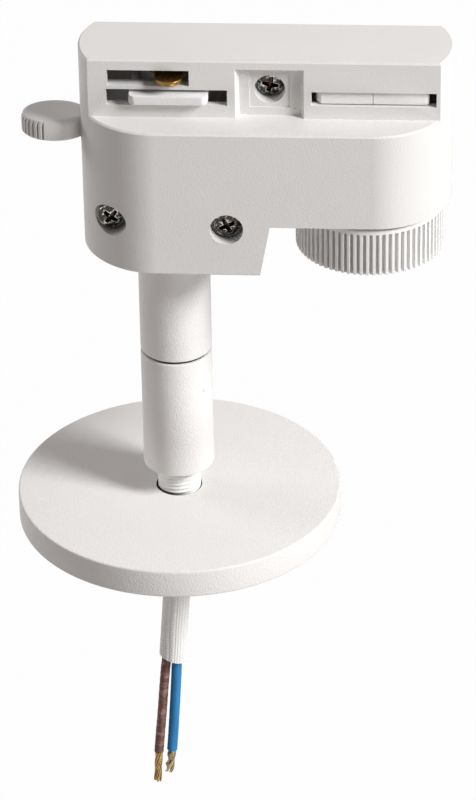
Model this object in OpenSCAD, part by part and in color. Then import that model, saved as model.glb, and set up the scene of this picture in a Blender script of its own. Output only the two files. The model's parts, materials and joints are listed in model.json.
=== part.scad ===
// Track light adapter with a swivel stem, a round disc and a pendant cord
// Millimetres. X runs along the track, Z points up, and the origin is the middle of the head's top face.

/* [Housing] */
// Length of the housing along the track
body_len = 82.8; // [80:0.1:96]
// Width of the lower housing, with half-round ends
body_w = 35; // [34:0.1:42]
// Height of the lower housing below its shelf, at the stem's end
body_h = 35.4; // [34:0.1:46]
// Height of the step that leaves room for the knob
step_h = 12.4; // [11:0.1:14]
// Upper corner of the step, to the right of the housing's middle
step_x = 1.4; // [-1:0.1:3]
// How far the step's wall leans back over its height
step_run = 2.3; // [0.5:0.1:4]
// Thickness of the housing's walls
wall = 2; // [1.6:0.1:2.4]
// Bevel on the housing's outer edges
edge_bevel = 0.4; // [0.2:0.05:0.8]
// From the housing's left end to the stem and the lever's rotor
stem_inset = 20; // [19:0.1:23]
// From the housing's right end to the knob and its rotor
knob_inset = 18.4; // [18:0.1:21]

/* [Head] */
// Width of the head that enters the track
head_w = 18.8; // [18.4:0.1:22]
// Height of the head above the shelf
head_h = 13.9; // [13:0.1:18]
// Thickness of the head's top wall
top_t = 2.2; // [1.8:0.1:2.4]
// Depth of the contact slot's upper edge below the head's top
contact_slot_z = 2.5; // [2.3:0.05:3]
// Height of the contact slot
contact_slot_h = 3.8; // [3:0.05:4]
// Reach of the contact slot on the side that the contact folds to
contact_slot_far = 13; // [10:0.1:13.5]
// Reach of the contact slot on the other side
contact_slot_near = 5; // [4.6:0.1:9]
// Thickness of the insulating shelf between the contact slot and the lug slot
partition_t = 0.85; // [0.6:0.05:1.2]
// Depth of that shelf behind the head's face
partition_deep = 3.1; // [2.6:0.1:4]
// Gap below the lug in its slot at the lever's rotor
lever_slot_under = 1; // [0.3:0.05:1.2]
// Gap above and below the lug in its slot at the knob's rotor
knob_slot_gap = 0.3; // [0.2:0.05:0.6]
// Half length of the lug slot at the lever's rotor
lever_slot_half = 13.3; // [11.5:0.1:13.5]
// Reach of the lug slot at the knob's rotor, towards the middle
knob_slot_near = 12.6; // [11.5:0.1:13]
// Reach of the lug slot at the knob's rotor, towards the end
knob_slot_far = 14.8; // [11.5:0.1:15]

/* [Pocket] */
// Middle of the screw pocket, to the right of the housing's middle
pocket_x = 1.2; // [0:0.1:2]
// Width of the pocket at the head's face
pocket_w = 15.1; // [13:0.1:15.5]
// Depth of the pocket's upper edge below the head's top
pocket_top = 2; // [1:0.1:3]
// Depth of the pocket
pocket_deep = 1.7; // [1:0.1:2]
// Width of the pocket's slanted sides
pocket_draft = 0.8; // [0.3:0.1:1.5]
// Width of the sunk panel in the pocket
panel_w = 9; // [8:0.1:10]
// Height of the sunk panel
panel_h = 8.6; // [8:0.1:9]
// Depth of the sunk panel
panel_deep = 0.3; // [0.1:0.05:0.5]
// Depth of the head screw's axis below the head's top
head_screw_z = 7.7; // [7.2:0.1:8.2]
// Diameter of the head screw's counterbore
head_bore_d = 6.8; // [6.4:0.1:7.4]
// From the parting plane to the head screw's seat
head_seat = 3.3; // [2.5:0.1:3.8]

/* [Housing screws] */
// Thread diameter of the housing screws
screw_d = 2.9; // [2.5:0.1:3.1]
// Diameter of the screws' pan heads
screw_head_d = 5.9; // [5.4:0.1:6.2]
// Height of the screws' pan heads
screw_head_h = 2; // [1.6:0.1:2.3]
// Diameter of the body's counterbores
body_bore_d = 7.4; // [7:0.1:8]
// Height of the two body screws above the housing's underside
body_screw_up = 11.7; // [11:0.1:13]
// From the stem's axis to the corner screw
corner_screw_dx = 12.8; // [12.4:0.1:13.4]
// From the stem's axis to the inner screw
inner_screw_dx = 13.2; // [12.6:0.1:13.6]
// From the parting plane to the corner screw's seat
corner_seat = 10.4; // [9.6:0.1:11]
// From the parting plane to the inner screw's seat
inner_seat = 13.7; // [12.5:0.1:14]
// How far each screw reaches behind the parting plane
screw_reach = 5.6; // [4:0.1:6]
// Diameter of the bosses that the screws bite into
boss_d = 6.4; // [5.8:0.1:7]
// Wall around the screws' counterbores
cup_wall = 1.4; // [1:0.1:1.6]

/* [Rotors] */
// Depth of the knob's lug below the head's top
lug_z = 7.6; // [7.4:0.05:8.2]
// Thickness of the knob's lug
lug_t = 2.8; // [2.2:0.05:3]
// Length of the knob's lug
lug_len = 25.2; // [23:0.1:25.6]
// Width of the knob's lug, less than the head's width
lug_w = 17.4; // [15:0.1:17.8]
// How much longer the knob's lug is at its square end
lug_more = 0.6; // [0:0.1:1]
// Radius of the other end's bow
lug_end_r = 24.5; // [20:0.5:40]
// Radius that the corners of that end sweep
lug_sweep = 13.6; // [13:0.05:13.8]
// Rounding of the square corners of the knob's lug
lug_round = 0.9; // [0.5:0.1:1.5]
// Width of the split line across the knob's lug
split_w = 0.3; // [0.2:0.05:0.5]
// From the knob's axis to that line
split_x = 0.9; // [0:0.1:2]
// Depth of the lever's lug below the head's top
lever_lug_z = 7.9; // [7.7:0.05:8.2]
// Thickness of the lever's lug
lever_lug_t = 2.1; // [1.8:0.05:2.4]
// Length of the lever's lug, through both faces of the head
lever_lug_len = 22.8; // [20:0.1:23.4]
// Width of the lever's lug
lever_lug_w = 17.4; // [15:0.1:17.6]
// How far that lug sits to one side of its rotor's axis
lever_lug_off = 0.4; // [0:0.05:0.4]
// Rounding of that lug's corners
lever_lug_round = 1.5; // [0.8:0.1:2]
// Diameter of the hub under the contact
hub_d = 13; // [12:0.1:14]
// Diameter of the neck that carries the contact
neck_d = 7; // [6:0.1:7.4]
// Width across the neck's two flats
neck_flat = 5.6; // [4.6:0.1:5.8]
// Diameter of the pivot in the head's top wall
pivot_d = 4; // [3:0.1:5]
// Length of that pivot
pivot_h = 1.2; // [0.8:0.1:1.4]
// Gap above that pivot
pivot_gap = 0.2; // [0.1:0.05:0.4]
// Diameter of the rotors' journals
journal_d = 9; // [8.6:0.1:9.6]
// Width of the square shanks that the lever and the knob sit on
shank_w = 6.2; // [5.6:0.1:6.3]
// Half length of the bearing webs
web_half = 8; // [7:0.1:9]

/* [Contacts] */
// Depth of the contacts' upper face below the head's top
contact_z = 4; // [3.9:0.05:4.2]
// Thickness of the contact blades
contact_t = 1; // [0.6:0.05:1.2]
// Width of the contact blades
contact_w = 6.2; // [5.4:0.1:7.4]
// From a rotor's axis to its contact's tip
contact_reach = 12.2; // [11.5:0.1:12.8]
// How far a blade sits to one side of its rotor's axis
contact_off = 0.5; // [0:0.1:1.2]
// Thickness of the spring leaves that feed the contacts
wiper_t = 0.5; // [0.3:0.05:0.6]
// Width of the spring leaves
wiper_w = 3; // [2:0.1:3.2]
// Middle of the spring leaves behind the parting plane
wiper_y = 3; // [2.8:0.1:3.4]
// Length of the leaves' soldering tabs
wiper_drop = 11; // [10.5:0.1:11.5]

/* [Lever] */
// Depth of the lever's upper face below the head's top
lever_z = 17.5; // [17.2:0.1:18.4]
// Thickness of the lever
lever_t = 5; // [4.6:0.1:5.6]
// Width of the lever's neck
lever_w = 7; // [6.4:0.1:9]
// Width of the lever's oval grip
grip_w = 11.6; // [9.2:0.1:12]
// Length of the grip
grip_len = 15; // [12:0.1:18]
// Rounding of the grip's upper edge
grip_round = 1.3; // [0.8:0.1:1.6]
// Bevel of the lever's other edges
lever_bevel = 0.5; // [0.3:0.1:0.7]
// How far the lever's tip stands out of the housing's end
lever_out = 13.3; // [12.5:0.1:20]
// Diameter of the lever's hub
lever_hub_d = 15; // [13:0.1:16]
// Depth of the grooves between the ribs on the grip's tip
lever_rib_h = 0.35; // [0.2:0.05:0.5]
// Number of those ribs
lever_ribs = 15; // [9:2:21]
// Angle of the tip that they cover, seen from the grip's middle
lever_rib_span = 150; // [90:5:160]

/* [Knob] */
// Diameter of the knob over its ribs
knob_d = 33.4; // [30:0.1:34]
// Height of the knob
knob_h = 11.3; // [10.5:0.1:12.5]
// Gap between the housing and the knob
knob_gap = 1; // [0.6:0.05:1.4]
// Number of ribs around the knob
knob_ribs = 72; // [48:4:90]
// Height of the ribs
knob_rib_h = 0.6; // [0.3:0.05:0.9]
// Height of the plain rim above the ribs
knob_rim_h = 0.9; // [0.4:0.1:1.5]
// Thickness of the knob's skirt and bottom
knob_wall = 2.2; // [1.8:0.1:2.8]
// Diameter of the knob's inner boss
knob_boss_d = 14; // [12:0.1:16]
// Diameter of the washer between the housing and the knob
knob_washer_d = 13; // [11:0.1:14]

/* [Stem] */
// Outer diameter of the stem
stem_d = 16.4; // [15.4:0.1:19]
// Length of the upper stem
upper_stem_len = 28.6; // [24:0.1:60]
// Height of the dark seam between the stems
seam_h = 0.7; // [0.4:0.05:1.2]
// Length of the lower stem
lower_stem_len = 30.2; // [28:0.1:80]
// Thread diameter of the hollow nipples
thread_d = 10; // [9.6:0.1:10.4]
// Bore of the hollow nipples
thread_bore = 7.6; // [7.2:0.1:7.8]
// Grip of each thread in its stem
thread_grip = 9; // [6:0.1:9.5]
// Bore inside the lower stem
stem_bore = 13; // [12.6:0.1:13.6]
// Thickness of the lower stem's top wall
swivel_wall = 4; // [3:0.1:6]
// Thickness of the swivel's spring washer
swivel_spring_t = 0.9; // [0.6:0.05:1.4]
// Thickness of the swivel bolt's flange
flange_t = 2; // [1.5:0.1:3]
// Bevel on the stems' ends
stem_bevel = 0.3; // [0.1:0.05:0.6]

/* [Disc] */
// Diameter of the disc
disc_d = 75.5; // [60:0.5:120]
// Height of the disc's rim
disc_h = 6.9; // [5.5:0.1:12]
// Thickness of the disc's top and rim
disc_t = 2; // [1.4:0.1:2.4]
// Hole in the disc
disc_hole = 10.8; // [10.6:0.1:11.4]
// Thread that shows between the stem and the disc
thread_show = 6.7; // [3:0.1:12]
// Bevel on the disc's edges
disc_bevel = 0.35; // [0.1:0.05:0.8]
// Free end of the nipple below the disc's nut
nipple_free = 5.4; // [3:0.1:10]
// Length of the relief between the nut and that free end
relief_h = 1; // [0.8:0.1:1.5]
// Diameter of the relief
relief_d = 9; // [8.8:0.1:9.2]
// Thread diameter of that free end, which is left unpainted
free_end_d = 9.8; // [9.5:0.1:9.9]

/* [Nuts and washers] */
// Width of the hexagon nuts across their flats
nut_flats = 14; // [13:0.1:15]
// Height of the nut inside the housing
stem_nut_h = 4; // [3:0.1:4.5]
// Height of the nut under the disc
disc_nut_h = 3; // [2.5:0.1:4]
// Diameter of the flat washers
washer_d = 18; // [16:0.1:20]
// Thickness of the flat washers
washer_t = 1; // [0.6:0.05:1.2]
// How far the seam's washer lies inside the stem's surface
seam_inset = 0.6; // [0.3:0.1:1.2]
// Thread that stands out of the nut inside the housing
thread_out = 1.5; // [0.5:0.1:2]

/* [Cord] */
// Diameter of the white sleeve
sleeve_d = 6.4; // [5.8:0.1:6.6]
// Diameter of the brown wire's insulation
brown_d = 2.2; // [1.8:0.1:2.4]
// Diameter of the blue wire's insulation
blue_d = 2.4; // [1.8:0.1:2.5]
// Diameter of the bare strands
strand_d = 1.5; // [1:0.1:1.7]
// Height of the cord clamp's middle above the housing's underside
clamp_up = 13.8; // [13.2:0.1:14.5]
// Height of the cord clamp
clamp_h = 5; // [4:0.1:5.4]
// Half length of the cord clamp
clamp_half = 9.2; // [8.8:0.1:9.3]
// Depth of the cord clamp's bar in front of the parting plane
clamp_deep = 5; // [4.4:0.1:6]
// From the stem's axis to each clamp screw
clamp_screw_dx = 6.4; // [5.8:0.1:6.6]
// Thread diameter of the clamp screws
clamp_screw_d = 2.2; // [1.8:0.1:2.6]
// How far the clamp screws reach into the saddle
clamp_screw_in = 6; // [4:0.1:8]
// Diameter of the clamp screws' heads
clamp_head_d = 4.2; // [3.8:0.1:4.4]
// Height of the clamp screws' heads
clamp_head_h = 1.5; // [1.2:0.1:1.7]
// How far the sleeve stands out above the clamp
sleeve_out = 1.5; // [0.5:0.1:2]

/* [Clearances] */
// Radial clearance of the running fits
run_clear = 0.05; // [0.02:0.01:0.09]
// Clearance of pieces that are assembled and stay put
slip_clear = 0.05; // [0.02:0.01:0.1]
// Gap around pieces that move past the housing
move_clear = 0.3; // [0.2:0.05:0.5]
// Gap between a screw's shank and its clearance hole
screw_clear = 0.2; // [0.1:0.05:0.3]

/* [Hidden] */
$fn = 96;
white = "whitesmoke";
steel = "silver";
brass = "goldenrod";
big = 200;
cut = 0.5;

// Places of the two rotors
stem_x = stem_inset - body_len / 2;
knob_x = body_len / 2 - knob_inset;

// Levels of the housing, from the head's top downwards
shelf_z = -head_h;
bottom_z = shelf_z - body_h;
step_z = bottom_z + step_h;
partition_z = -contact_slot_z - contact_slot_h;
body_screw_z = bottom_z + body_screw_up;
clamp_z = bottom_z + clamp_up;

// Levels of the rotors
rotor_top_z = -top_t - move_clear;
seat_z = -contact_z - contact_t;
lug_bottom_z = -lug_z - lug_t;
lever_lug_bottom_z = -lever_lug_z - lever_lug_t;
lever_bottom_z = -lever_z - lever_t;
lever_reach = stem_inset + lever_out;
knob_top_z = step_z - knob_gap;
knob_bottom_z = knob_top_z - knob_h;

// Screws of the lever and the knob
hold_len = 8;
hold_washer_t = 0.6;
hold_washer_d = 9;
shank_short = 0.2;
cap_d = 9;
cap_t = 1;
hold_bore_d = 6.6;
hold_web_t = 1.5;
hold_seat_z = knob_bottom_z + cap_t + screw_head_h + move_clear;
knob_shank_z = hold_seat_z + hold_web_t;

// Levels of the stem, the disc and the cord
seam_z = bottom_z - upper_stem_len;
swivel_z = seam_z - seam_h;
flange_z = swivel_z - swivel_wall - swivel_spring_t - 2 * slip_clear;
stem_end_z = swivel_z - lower_stem_len;
disc_z = stem_end_z - thread_show;
disc_nut_z = disc_z - disc_t - washer_t;
nipple_end_z = disc_nut_z - disc_nut_h - relief_h - nipple_free;
sleeve_top_z = clamp_z + clamp_h / 2 + sleeve_out;

// Wires inside the housing, from the wipers' tabs to the sleeve above the clamp
lead_d = 2.2;
lead_gap = 0.85;
lead_top_z = lug_bottom_z - lead_d / 2;
tab_dx = boss_d / 2 + slip_clear;
tab_wire_dx = tab_dx + wiper_t + lead_d / 2;

// Route between two points: shares of the way in X and Z, and of the wipers' depth in Y
function lead_route(a, b, shares) = [
    for (p = shares) [a.x + p[0] * (b.x - a.x), p[1] * wiper_y, a.y + p[2] * (b.y - a.y)]
];
line_route = lead_route(
    [pocket_x - tab_wire_dx, lead_top_z], [stem_x + lead_d / 2 + slip_clear, sleeve_top_z + lead_gap],
    [
        [0, 1, 0], [0.009, 1, 0.146], [0.08, 0.97, 0.296], [0.22, 0.83, 0.472], [0.414, 0.67, 0.648],
        [0.656, 0.47, 0.784], [0.867, 0.23, 0.854], [0.988, 0.03, 0.925], [1, 0, 1]
    ]
);
neutral_route = lead_route(
    [pocket_x + tab_wire_dx, lead_top_z], [stem_x - lead_d / 2 - slip_clear, sleeve_top_z + lead_gap],
    [
        [0, 1, 0], [0.002, 1, 0.146], [0.023, 0.73, 0.296], [0.086, 0.07, 0.472], [0.229, -1, 0.673],
        [0.49, -1.53, 0.824], [0.735, -1.53, 0.894], [0.895, -1.13, 0.9], [0.979, -0.47, 0.925], [1, 0, 1]
    ]
);

// Routes of the hanging sleeve and of the two wires below it, from the end of the disc's nipple
function hang(drops) = [for (p = drops) [stem_x + p[0], 0, nipple_end_z + p[1]]];
sleeve_route = hang([
    [0, 9.9], [0, 3.9], [-0.3, -2.1], [-0.7, -9.1], [-1.2, -16.1], [-1.7, -23.1], [-2.2, -30.1], [-2.7, -37.9]
]);
brown_route = hang([[-4.1, -38.3], [-4.5, -42.1], [-5, -48.1], [-5.5, -54.1], [-6.1, -60.1], [-6.6, -66.1]]);
blue_route = hang([[-1.6, -38.3], [-1.8, -42.1], [-2.1, -48.1], [-2.5, -54.1], [-2.9, -60.1], [-3.3, -65.1]]);
brown_strand_route = hang([[-6.62, -66.3], [-6.9, -69.1], [-7.1, -72.1], [-7.2, -74.9]]);
blue_strand_route = hang([[-3.32, -65.3], [-3.6, -68.1], [-4, -70.1], [-4.3, -71.9]]);

// Vectors for the swept tubes
function unit(v) = v / norm(v);
function tangent(p, i) = unit(p[min(i + 1, len(p) - 1)] - p[max(i - 1, 0)]);
function ring(c, t, d, n) =
    let (side = unit(cross([0, 1, 0], t)), over = cross(t, side))
    [for (k = [0:n - 1]) c + d / 2 * (cos(360 * k / n) * side + sin(360 * k / n) * over)];

// Solid between rings of as many points each
module stacked(rings) {
    n = len(rings[0]);
    last = len(rings) - 1;
    walls = [for (i = [0:last - 1], k = [0:n - 1]) let (m = (k + 1) % n, a = i * n, b = a + n)
        each [[a + k, b + m, a + m], [a + k, b + k, b + m]]];
    first_cap = [for (k = [0:n - 1]) k];
    last_cap = [for (k = [n - 1:-1:0]) last * n + k];
    polyhedron([for (r = rings) each r], concat([first_cap], walls, [last_cap]));
}

// A round tube of n sides that follows a route
module swept(route, d, n) {
    stacked([for (i = [0:len(route) - 1]) ring(route[i], tangent(route, i), d, n)]);
}

// Block with half-round ends, from level z0 up to z1, with bevels c0 below and c1 above
module pill(l, w, z0, z1, c0 = 0, c1 = 0) {
    r = w / 2;
    low = c0 > 0 ? [[r - c0, z0], [r, z0 + c0]] : [[r, z0]];
    high = c1 > 0 ? [[r, z1 - c1], [r - c1, z1]] : [[r, z1]];
    side = concat(low, high);
    for (s = [-1, 1]) translate([s * (l - w) / 2, 0, 0]) rotate(-90 * s)
        rotate_extrude(angle = 180) polygon(concat([[0, z0]], side, [[0, z1]]));
    translate([(w - l) / 2, 0, 0]) rotate([90, 0, 90]) linear_extrude(l - w)
        polygon(concat(side, [for (i = [len(side) - 1:-1:0]) [-side[i].x, side[i].y]]));
}

// Bar along X with its upper edges bevelled
module bevelled_bar(l, w, z0, z1, c) {
    translate([-l / 2, 0, 0]) rotate([90, 0, 90]) linear_extrude(l)
        polygon([
            [-w / 2, z0], [w / 2, z0], [w / 2, z1 - c], [w / 2 - c, z1], [c - w / 2, z1], [-w / 2, z1 - c]
        ]);
}

// Block across the whole width whose outline in X and Z is given
module side_block(outline) {
    translate([0, big / 2, 0]) rotate([90, 0, 0]) linear_extrude(big) polygon(outline);
}

// Box between two corners
module box(a, b) {
    translate(a) cube(b - a);
}

// Cylinder along Y from y0 to y1
module rod_y(x, z, d, y0, y1) {
    translate([x, y1, z]) rotate([90, 0, 0]) cylinder(d = d, h = y1 - y0);
}

// Cylinder along Z from z0 up to z1
module rod_z(x, d, z0, z1) {
    translate([x, 0, z0]) cylinder(d = d, h = z1 - z0);
}

// Flat ring on the axis at x, from z0 up to z1
module ring_z(x, d, bore, z0, z1) {
    difference() {
        rod_z(x, d, z0, z1);
        rod_z(x, bore, z0 - cut, z1 + cut);
    }
}

// Place of the step's leaning wall at a level
function step_wall_x(z) = step_x - step_run * (step_z - z) / step_h;

// The housing's solid envelope
module envelope() {
    intersection() {
        pill(body_len, body_w, bottom_z, shelf_z, edge_bevel, edge_bevel);
        side_block([
            [-big, bottom_z - cut], [step_wall_x(bottom_z - cut), bottom_z - cut], [step_x, step_z],
            [big, step_z], [big, shelf_z + cut], [-big, shelf_z + cut]
        ]);
    }
    intersection() {
        pill(body_len, body_w, shelf_z - wall, 0, 0, edge_bevel);
        bevelled_bar(big, head_w, shelf_z - wall - cut, 0, edge_bevel);
    }
}

// The hollow inside the housing
module hollow() {
    inner_w = body_w - 2 * wall;
    inner_l = body_len - 2 * wall;
    intersection() {
        pill(inner_l, inner_w, bottom_z + wall, shelf_z - wall);
        side_block([
            [-big, bottom_z], [step_wall_x(bottom_z) - wall, bottom_z], [step_x - wall, step_z + wall],
            [big, step_z + wall], [big, shelf_z], [-big, shelf_z]
        ]);
    }
    intersection() {
        pill(inner_l, inner_w, shelf_z - wall - cut, -top_t);
        box([-big, wall - head_w / 2, -big], [big, head_w / 2 - wall, big]);
    }
}

// What lies within half a wall of the housing's outside, for features that grow out of its walls
module core(z0, z1) {
    pill(body_len - wall, body_w - wall, z0, z1);
}

// Half of the bearing webs and the insulating shelves, in front (side -1) or behind (side 1);
// the lever's web also closes that end of the head below
module half_webs(side) {
    reach = head_w / 2 - wall / 2;
    y0 = side < 0 ? -reach : 0;
    lip = partition_deep - wall / 2;
    lip_y0 = side < 0 ? -reach : reach - lip;
    intersection() {
        core(shelf_z - wall, shelf_z);
        box([-big, y0, -big], [stem_x + web_half, y0 + reach, big]);
    }
    box([knob_x - web_half, y0, shelf_z - wall], [knob_x + web_half, y0 + reach, shelf_z]);
    for (x = [stem_x, knob_x]) intersection() {
        core(partition_z - partition_t, partition_z);
        box([x - lug_len / 2 - wall / 2, lip_y0, -big], [x + lug_len / 2 + wall / 2, lip_y0 + lip, big]);
    }
}

// Round holes of both rotors' bearings and of the stem's nipple
module bearing_holes() {
    for (x = [stem_x, knob_x]) {
        rod_z(x, pivot_d + 2 * run_clear, -top_t - cut, rotor_top_z + pivot_h + pivot_gap);
        rod_z(x, hub_d + 4 * move_clear, partition_z - partition_t - cut, partition_z + cut);
        rod_z(x, journal_d + 2 * run_clear, shelf_z - wall - cut, shelf_z + cut);
    }
    rod_z(knob_x, journal_d + 2 * run_clear, step_z - cut, step_z + wall + cut);
    rod_z(stem_x, thread_d + 4 * slip_clear, bottom_z - cut, bottom_z + wall + cut);
}

// Slots for both lugs through one face of the head
module lug_slots(side) {
    y0 = side < 0 ? -head_w / 2 - cut : head_w / 2 - wall - cut;
    y1 = y0 + wall + 2 * cut;
    lever_low = lever_lug_bottom_z - lever_slot_under;
    knob_low = lug_bottom_z - knob_slot_gap;
    box([stem_x - lever_slot_half, y0, lever_low], [stem_x + lever_slot_half, y1, partition_z - partition_t]);
    box([knob_x - knob_slot_near, y0, knob_low], [knob_x + knob_slot_far, y1, knob_slot_gap - lug_z]);
}

// Half of the envelope, hollowed, in front (side -1) or behind (side 1)
module half_walls(side) {
    intersection() {
        difference() {
            envelope();
            hollow();
        }
        box([-big, side < 0 ? -big : 0, -big], [big, side < 0 ? 0 : big, big]);
    }
}

// Bosses that the three housing screws pass through, in front of the parting plane
module front_bosses() {
    cup = body_bore_d + 2 * cup_wall;
    intersection() {
        core(bottom_z + wall / 2, shelf_z);
        union() {
            rod_y(stem_x - corner_screw_dx, body_screw_z, boss_d, -body_w / 2, 0);
            rod_y(stem_x + inner_screw_dx, body_screw_z, boss_d, -body_w / 2, 0);
            rod_y(stem_x - corner_screw_dx, body_screw_z, cup, -body_w / 2, cup_wall - corner_seat);
            rod_y(stem_x + inner_screw_dx, body_screw_z, cup, -body_w / 2, cup_wall - inner_seat);
        }
    }
    rod_y(pocket_x, -head_screw_z, head_bore_d + 2 * cup_wall, wall / 2 - head_w / 2, 0);
}

// What the three housing screws bite into, behind the parting plane: two bosses and a square post in the head
module rear_bosses() {
    intersection() {
        core(bottom_z + wall / 2, shelf_z);
        for (x = [stem_x - corner_screw_dx, stem_x + inner_screw_dx])
            rod_y(x, body_screw_z, boss_d, 0, body_w / 2);
    }
    box([pocket_x - boss_d / 2, 0, shelf_z + wall / 2],
        [pocket_x + boss_d / 2, head_w / 2 - wall / 2, -top_t / 2]);
}

// Hole for one housing screw in front: its counterbore and its clearance hole
module screw_way(x, z, bore, seat) {
    rod_y(x, z, bore, -big, -seat);
    rod_y(x, z, screw_d + 2 * screw_clear, -seat - cut, cut);
}

// Solid that backs the pocket, before the pocket is cut
module pocket_block() {
    box([pocket_x - pocket_w / 2 - cup_wall, -head_w / 2 + edge_bevel, shelf_z - wall / 2],
        [pocket_x + pocket_w / 2 + cup_wall, pocket_deep + panel_deep + cup_wall - head_w / 2, -top_t / 2]);
}

// The pocket's hollow: slanted sides, a flat floor and a sunk panel around the screw
module pocket_cut() {
    face = -head_w / 2;
    half = pocket_w / 2;
    translate([pocket_x, 0, shelf_z]) linear_extrude(head_h - pocket_top) polygon([
        [-half - pocket_draft, face - pocket_deep], [half + pocket_draft, face - pocket_deep],
        [half - pocket_draft, face + pocket_deep], [pocket_draft - half, face + pocket_deep]
    ]);
    box([pocket_x - panel_w / 2, face, -head_screw_z - panel_h / 2],
        [pocket_x + panel_w / 2, face + pocket_deep + panel_deep, -head_screw_z + panel_h / 2]);
}

// Slot in the rear shell that the lever and its grip swing through, with its share of the front shell,
// as wide as the neck or, if that is wider, as the grip's oval where the housing ends
module lever_way() {
    share = max(0, 2 * lever_out / grip_len - 1);
    half_oval = share < 1 ? grip_w / 2 * sqrt(1 - share * share) : 0;
    half = max(lever_w / 2, half_oval) + move_clear;
    half_grip = grip_w / 2 + move_clear;
    box([-big, -half, lever_bottom_z - move_clear], [stem_x - lever_hub_d, 0, move_clear - lever_z]);
    box([-big, -cut, lever_bottom_z - move_clear], [stem_x + half_grip, big, move_clear - lever_z]);
}

module front_shell() {
    color(white) difference() {
        union() {
            half_walls(-1);
            half_webs(-1);
            front_bosses();
            pocket_block();
        }
        bearing_holes();
        lug_slots(-1);
        box([stem_x - contact_slot_far, -head_w / 2 - cut, partition_z],
            [stem_x + contact_slot_near, cut - head_w / 2 + wall, -contact_slot_z]);
        pocket_cut();
        screw_way(pocket_x, -head_screw_z, head_bore_d, head_seat);
        screw_way(stem_x - corner_screw_dx, body_screw_z, body_bore_d, corner_seat);
        screw_way(stem_x + inner_screw_dx, body_screw_z, body_bore_d, inner_seat);
        lever_way();
    }
}

module rear_shell() {
    clamp_top = clamp_z + clamp_h / 2;
    clamp_low = clamp_z - clamp_h / 2;
    color(white) difference() {
        union() {
            half_walls(1);
            half_webs(1);
            rear_bosses();
            intersection() {
                core(clamp_low, clamp_top);
                box([stem_x - clamp_half, 0, -big], [stem_x + clamp_half, big, big]);
            }
        }
        bearing_holes();
        lug_slots(1);
        box([knob_x - contact_slot_near, head_w / 2 - wall - cut, partition_z],
            [knob_x + contact_slot_far, head_w / 2 + cut, -contact_slot_z]);
        for (x = [stem_x - corner_screw_dx, stem_x + inner_screw_dx])
            rod_y(x, body_screw_z, screw_d + 2 * slip_clear, -cut, screw_reach + cut);
        rod_y(pocket_x, -head_screw_z, screw_d + 2 * slip_clear, -cut, screw_reach + cut);
        for (s = [-1, 1])
            rod_y(stem_x + s * clamp_screw_dx, clamp_z, clamp_screw_d + 2 * slip_clear,
                -cut, clamp_screw_in + cut);
        rod_z(stem_x, sleeve_d + 2 * slip_clear, clamp_low - cut, clamp_top + cut);
        lever_way();
    }
}

// Pan-head screw with a cross recess, its head's underside at the origin and its shank along +Z
module cross_screw(d, l, head_d, head_h) {
    slot_w = head_d * 0.16;
    slot_l = head_d * 0.56;
    dome = head_h * 0.45;
    difference() {
        union() {
            cylinder(d = d, h = l);
            translate([0, 0, -head_h]) cylinder(d1 = head_d - 2 * dome, d2 = head_d, h = dome);
            translate([0, 0, dome - head_h]) cylinder(d = head_d, h = head_h - dome);
        }
        for (a = [0, 90]) rotate(a) translate([0, 0, -head_h])
            cube([slot_w, slot_l, 2 * head_h * 0.6], center = true);
    }
}

// Housing screw along +Y with its seat in front of the parting plane
module housing_screw(x, z, seat) {
    color(steel) translate([x, -seat, z]) rotate([-90, 0, 0])
        cross_screw(screw_d, seat + screw_reach, screw_head_d, screw_head_h);
}

module head_screw() {
    housing_screw(pocket_x, -head_screw_z, head_seat);
}

module corner_screw() {
    housing_screw(stem_x - corner_screw_dx, body_screw_z, corner_seat);
}

module inner_screw() {
    housing_screw(stem_x + inner_screw_dx, body_screw_z, inner_seat);
}

// Rectangle about the origin with round corners
module round_square(w, l, r) {
    square([w - 2 * r, l], center = true);
    square([w, l - 2 * r], center = true);
    for (x = [-1, 1], y = [-1, 1]) translate([x * (w / 2 - r), y * (l / 2 - r)]) circle(r = r);
}

// Outline of the knob's lug: a bowed end whose corners stay within the sweep, and a longer square end
module knob_lug_outline() {
    intersection() {
        square([lug_w, lug_len], center = true);
        translate([0, lug_len / 2 - lug_end_r]) circle(r = lug_end_r);
        circle(r = lug_sweep);
    }
    half = lug_len / 2 + lug_more;
    translate([0, -half / 2]) round_square(lug_w, half, lug_round);
}

// Outline of the neck with its two flats, grown by a clearance
module neck_outline(grow) {
    intersection() {
        circle(d = neck_d + 2 * grow);
        square([neck_flat + 2 * grow, 2 * neck_d], center = true);
    }
}

// Rotor with its pivot on top and its hub, with the lug given as a child from lug_low up to lug_high,
// down to a journal that ends at journal_z and a shank that ends at shank_z
module rotor(lug_low, lug_high, journal_z, shank_z) {
    difference() {
        union() {
            rod_z(0, pivot_d, rotor_top_z - cut, rotor_top_z + pivot_h);
            translate([0, 0, seat_z]) linear_extrude(rotor_top_z - seat_z) neck_outline(0);
            rod_z(0, hub_d, lug_high, seat_z);
            translate([0, 0, lug_low]) linear_extrude(lug_high - lug_low) children();
            rod_z(0, journal_d, journal_z, lug_low);
            box([-shank_w / 2, -shank_w / 2, shank_z], [shank_w / 2, shank_w / 2, journal_z]);
        }
        rod_z(0, screw_d + 2 * slip_clear, shank_z - cut, shank_z + hold_len);
    }
}

module contact_rotor() {
    color(white) translate([stem_x, 0, 0])
        rotor(lever_lug_bottom_z, -lever_lug_z, -lever_z, lever_bottom_z + shank_short)
            translate([lever_lug_off, 0]) round_square(lever_lug_w, lever_lug_len, lever_lug_round);
}

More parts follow.
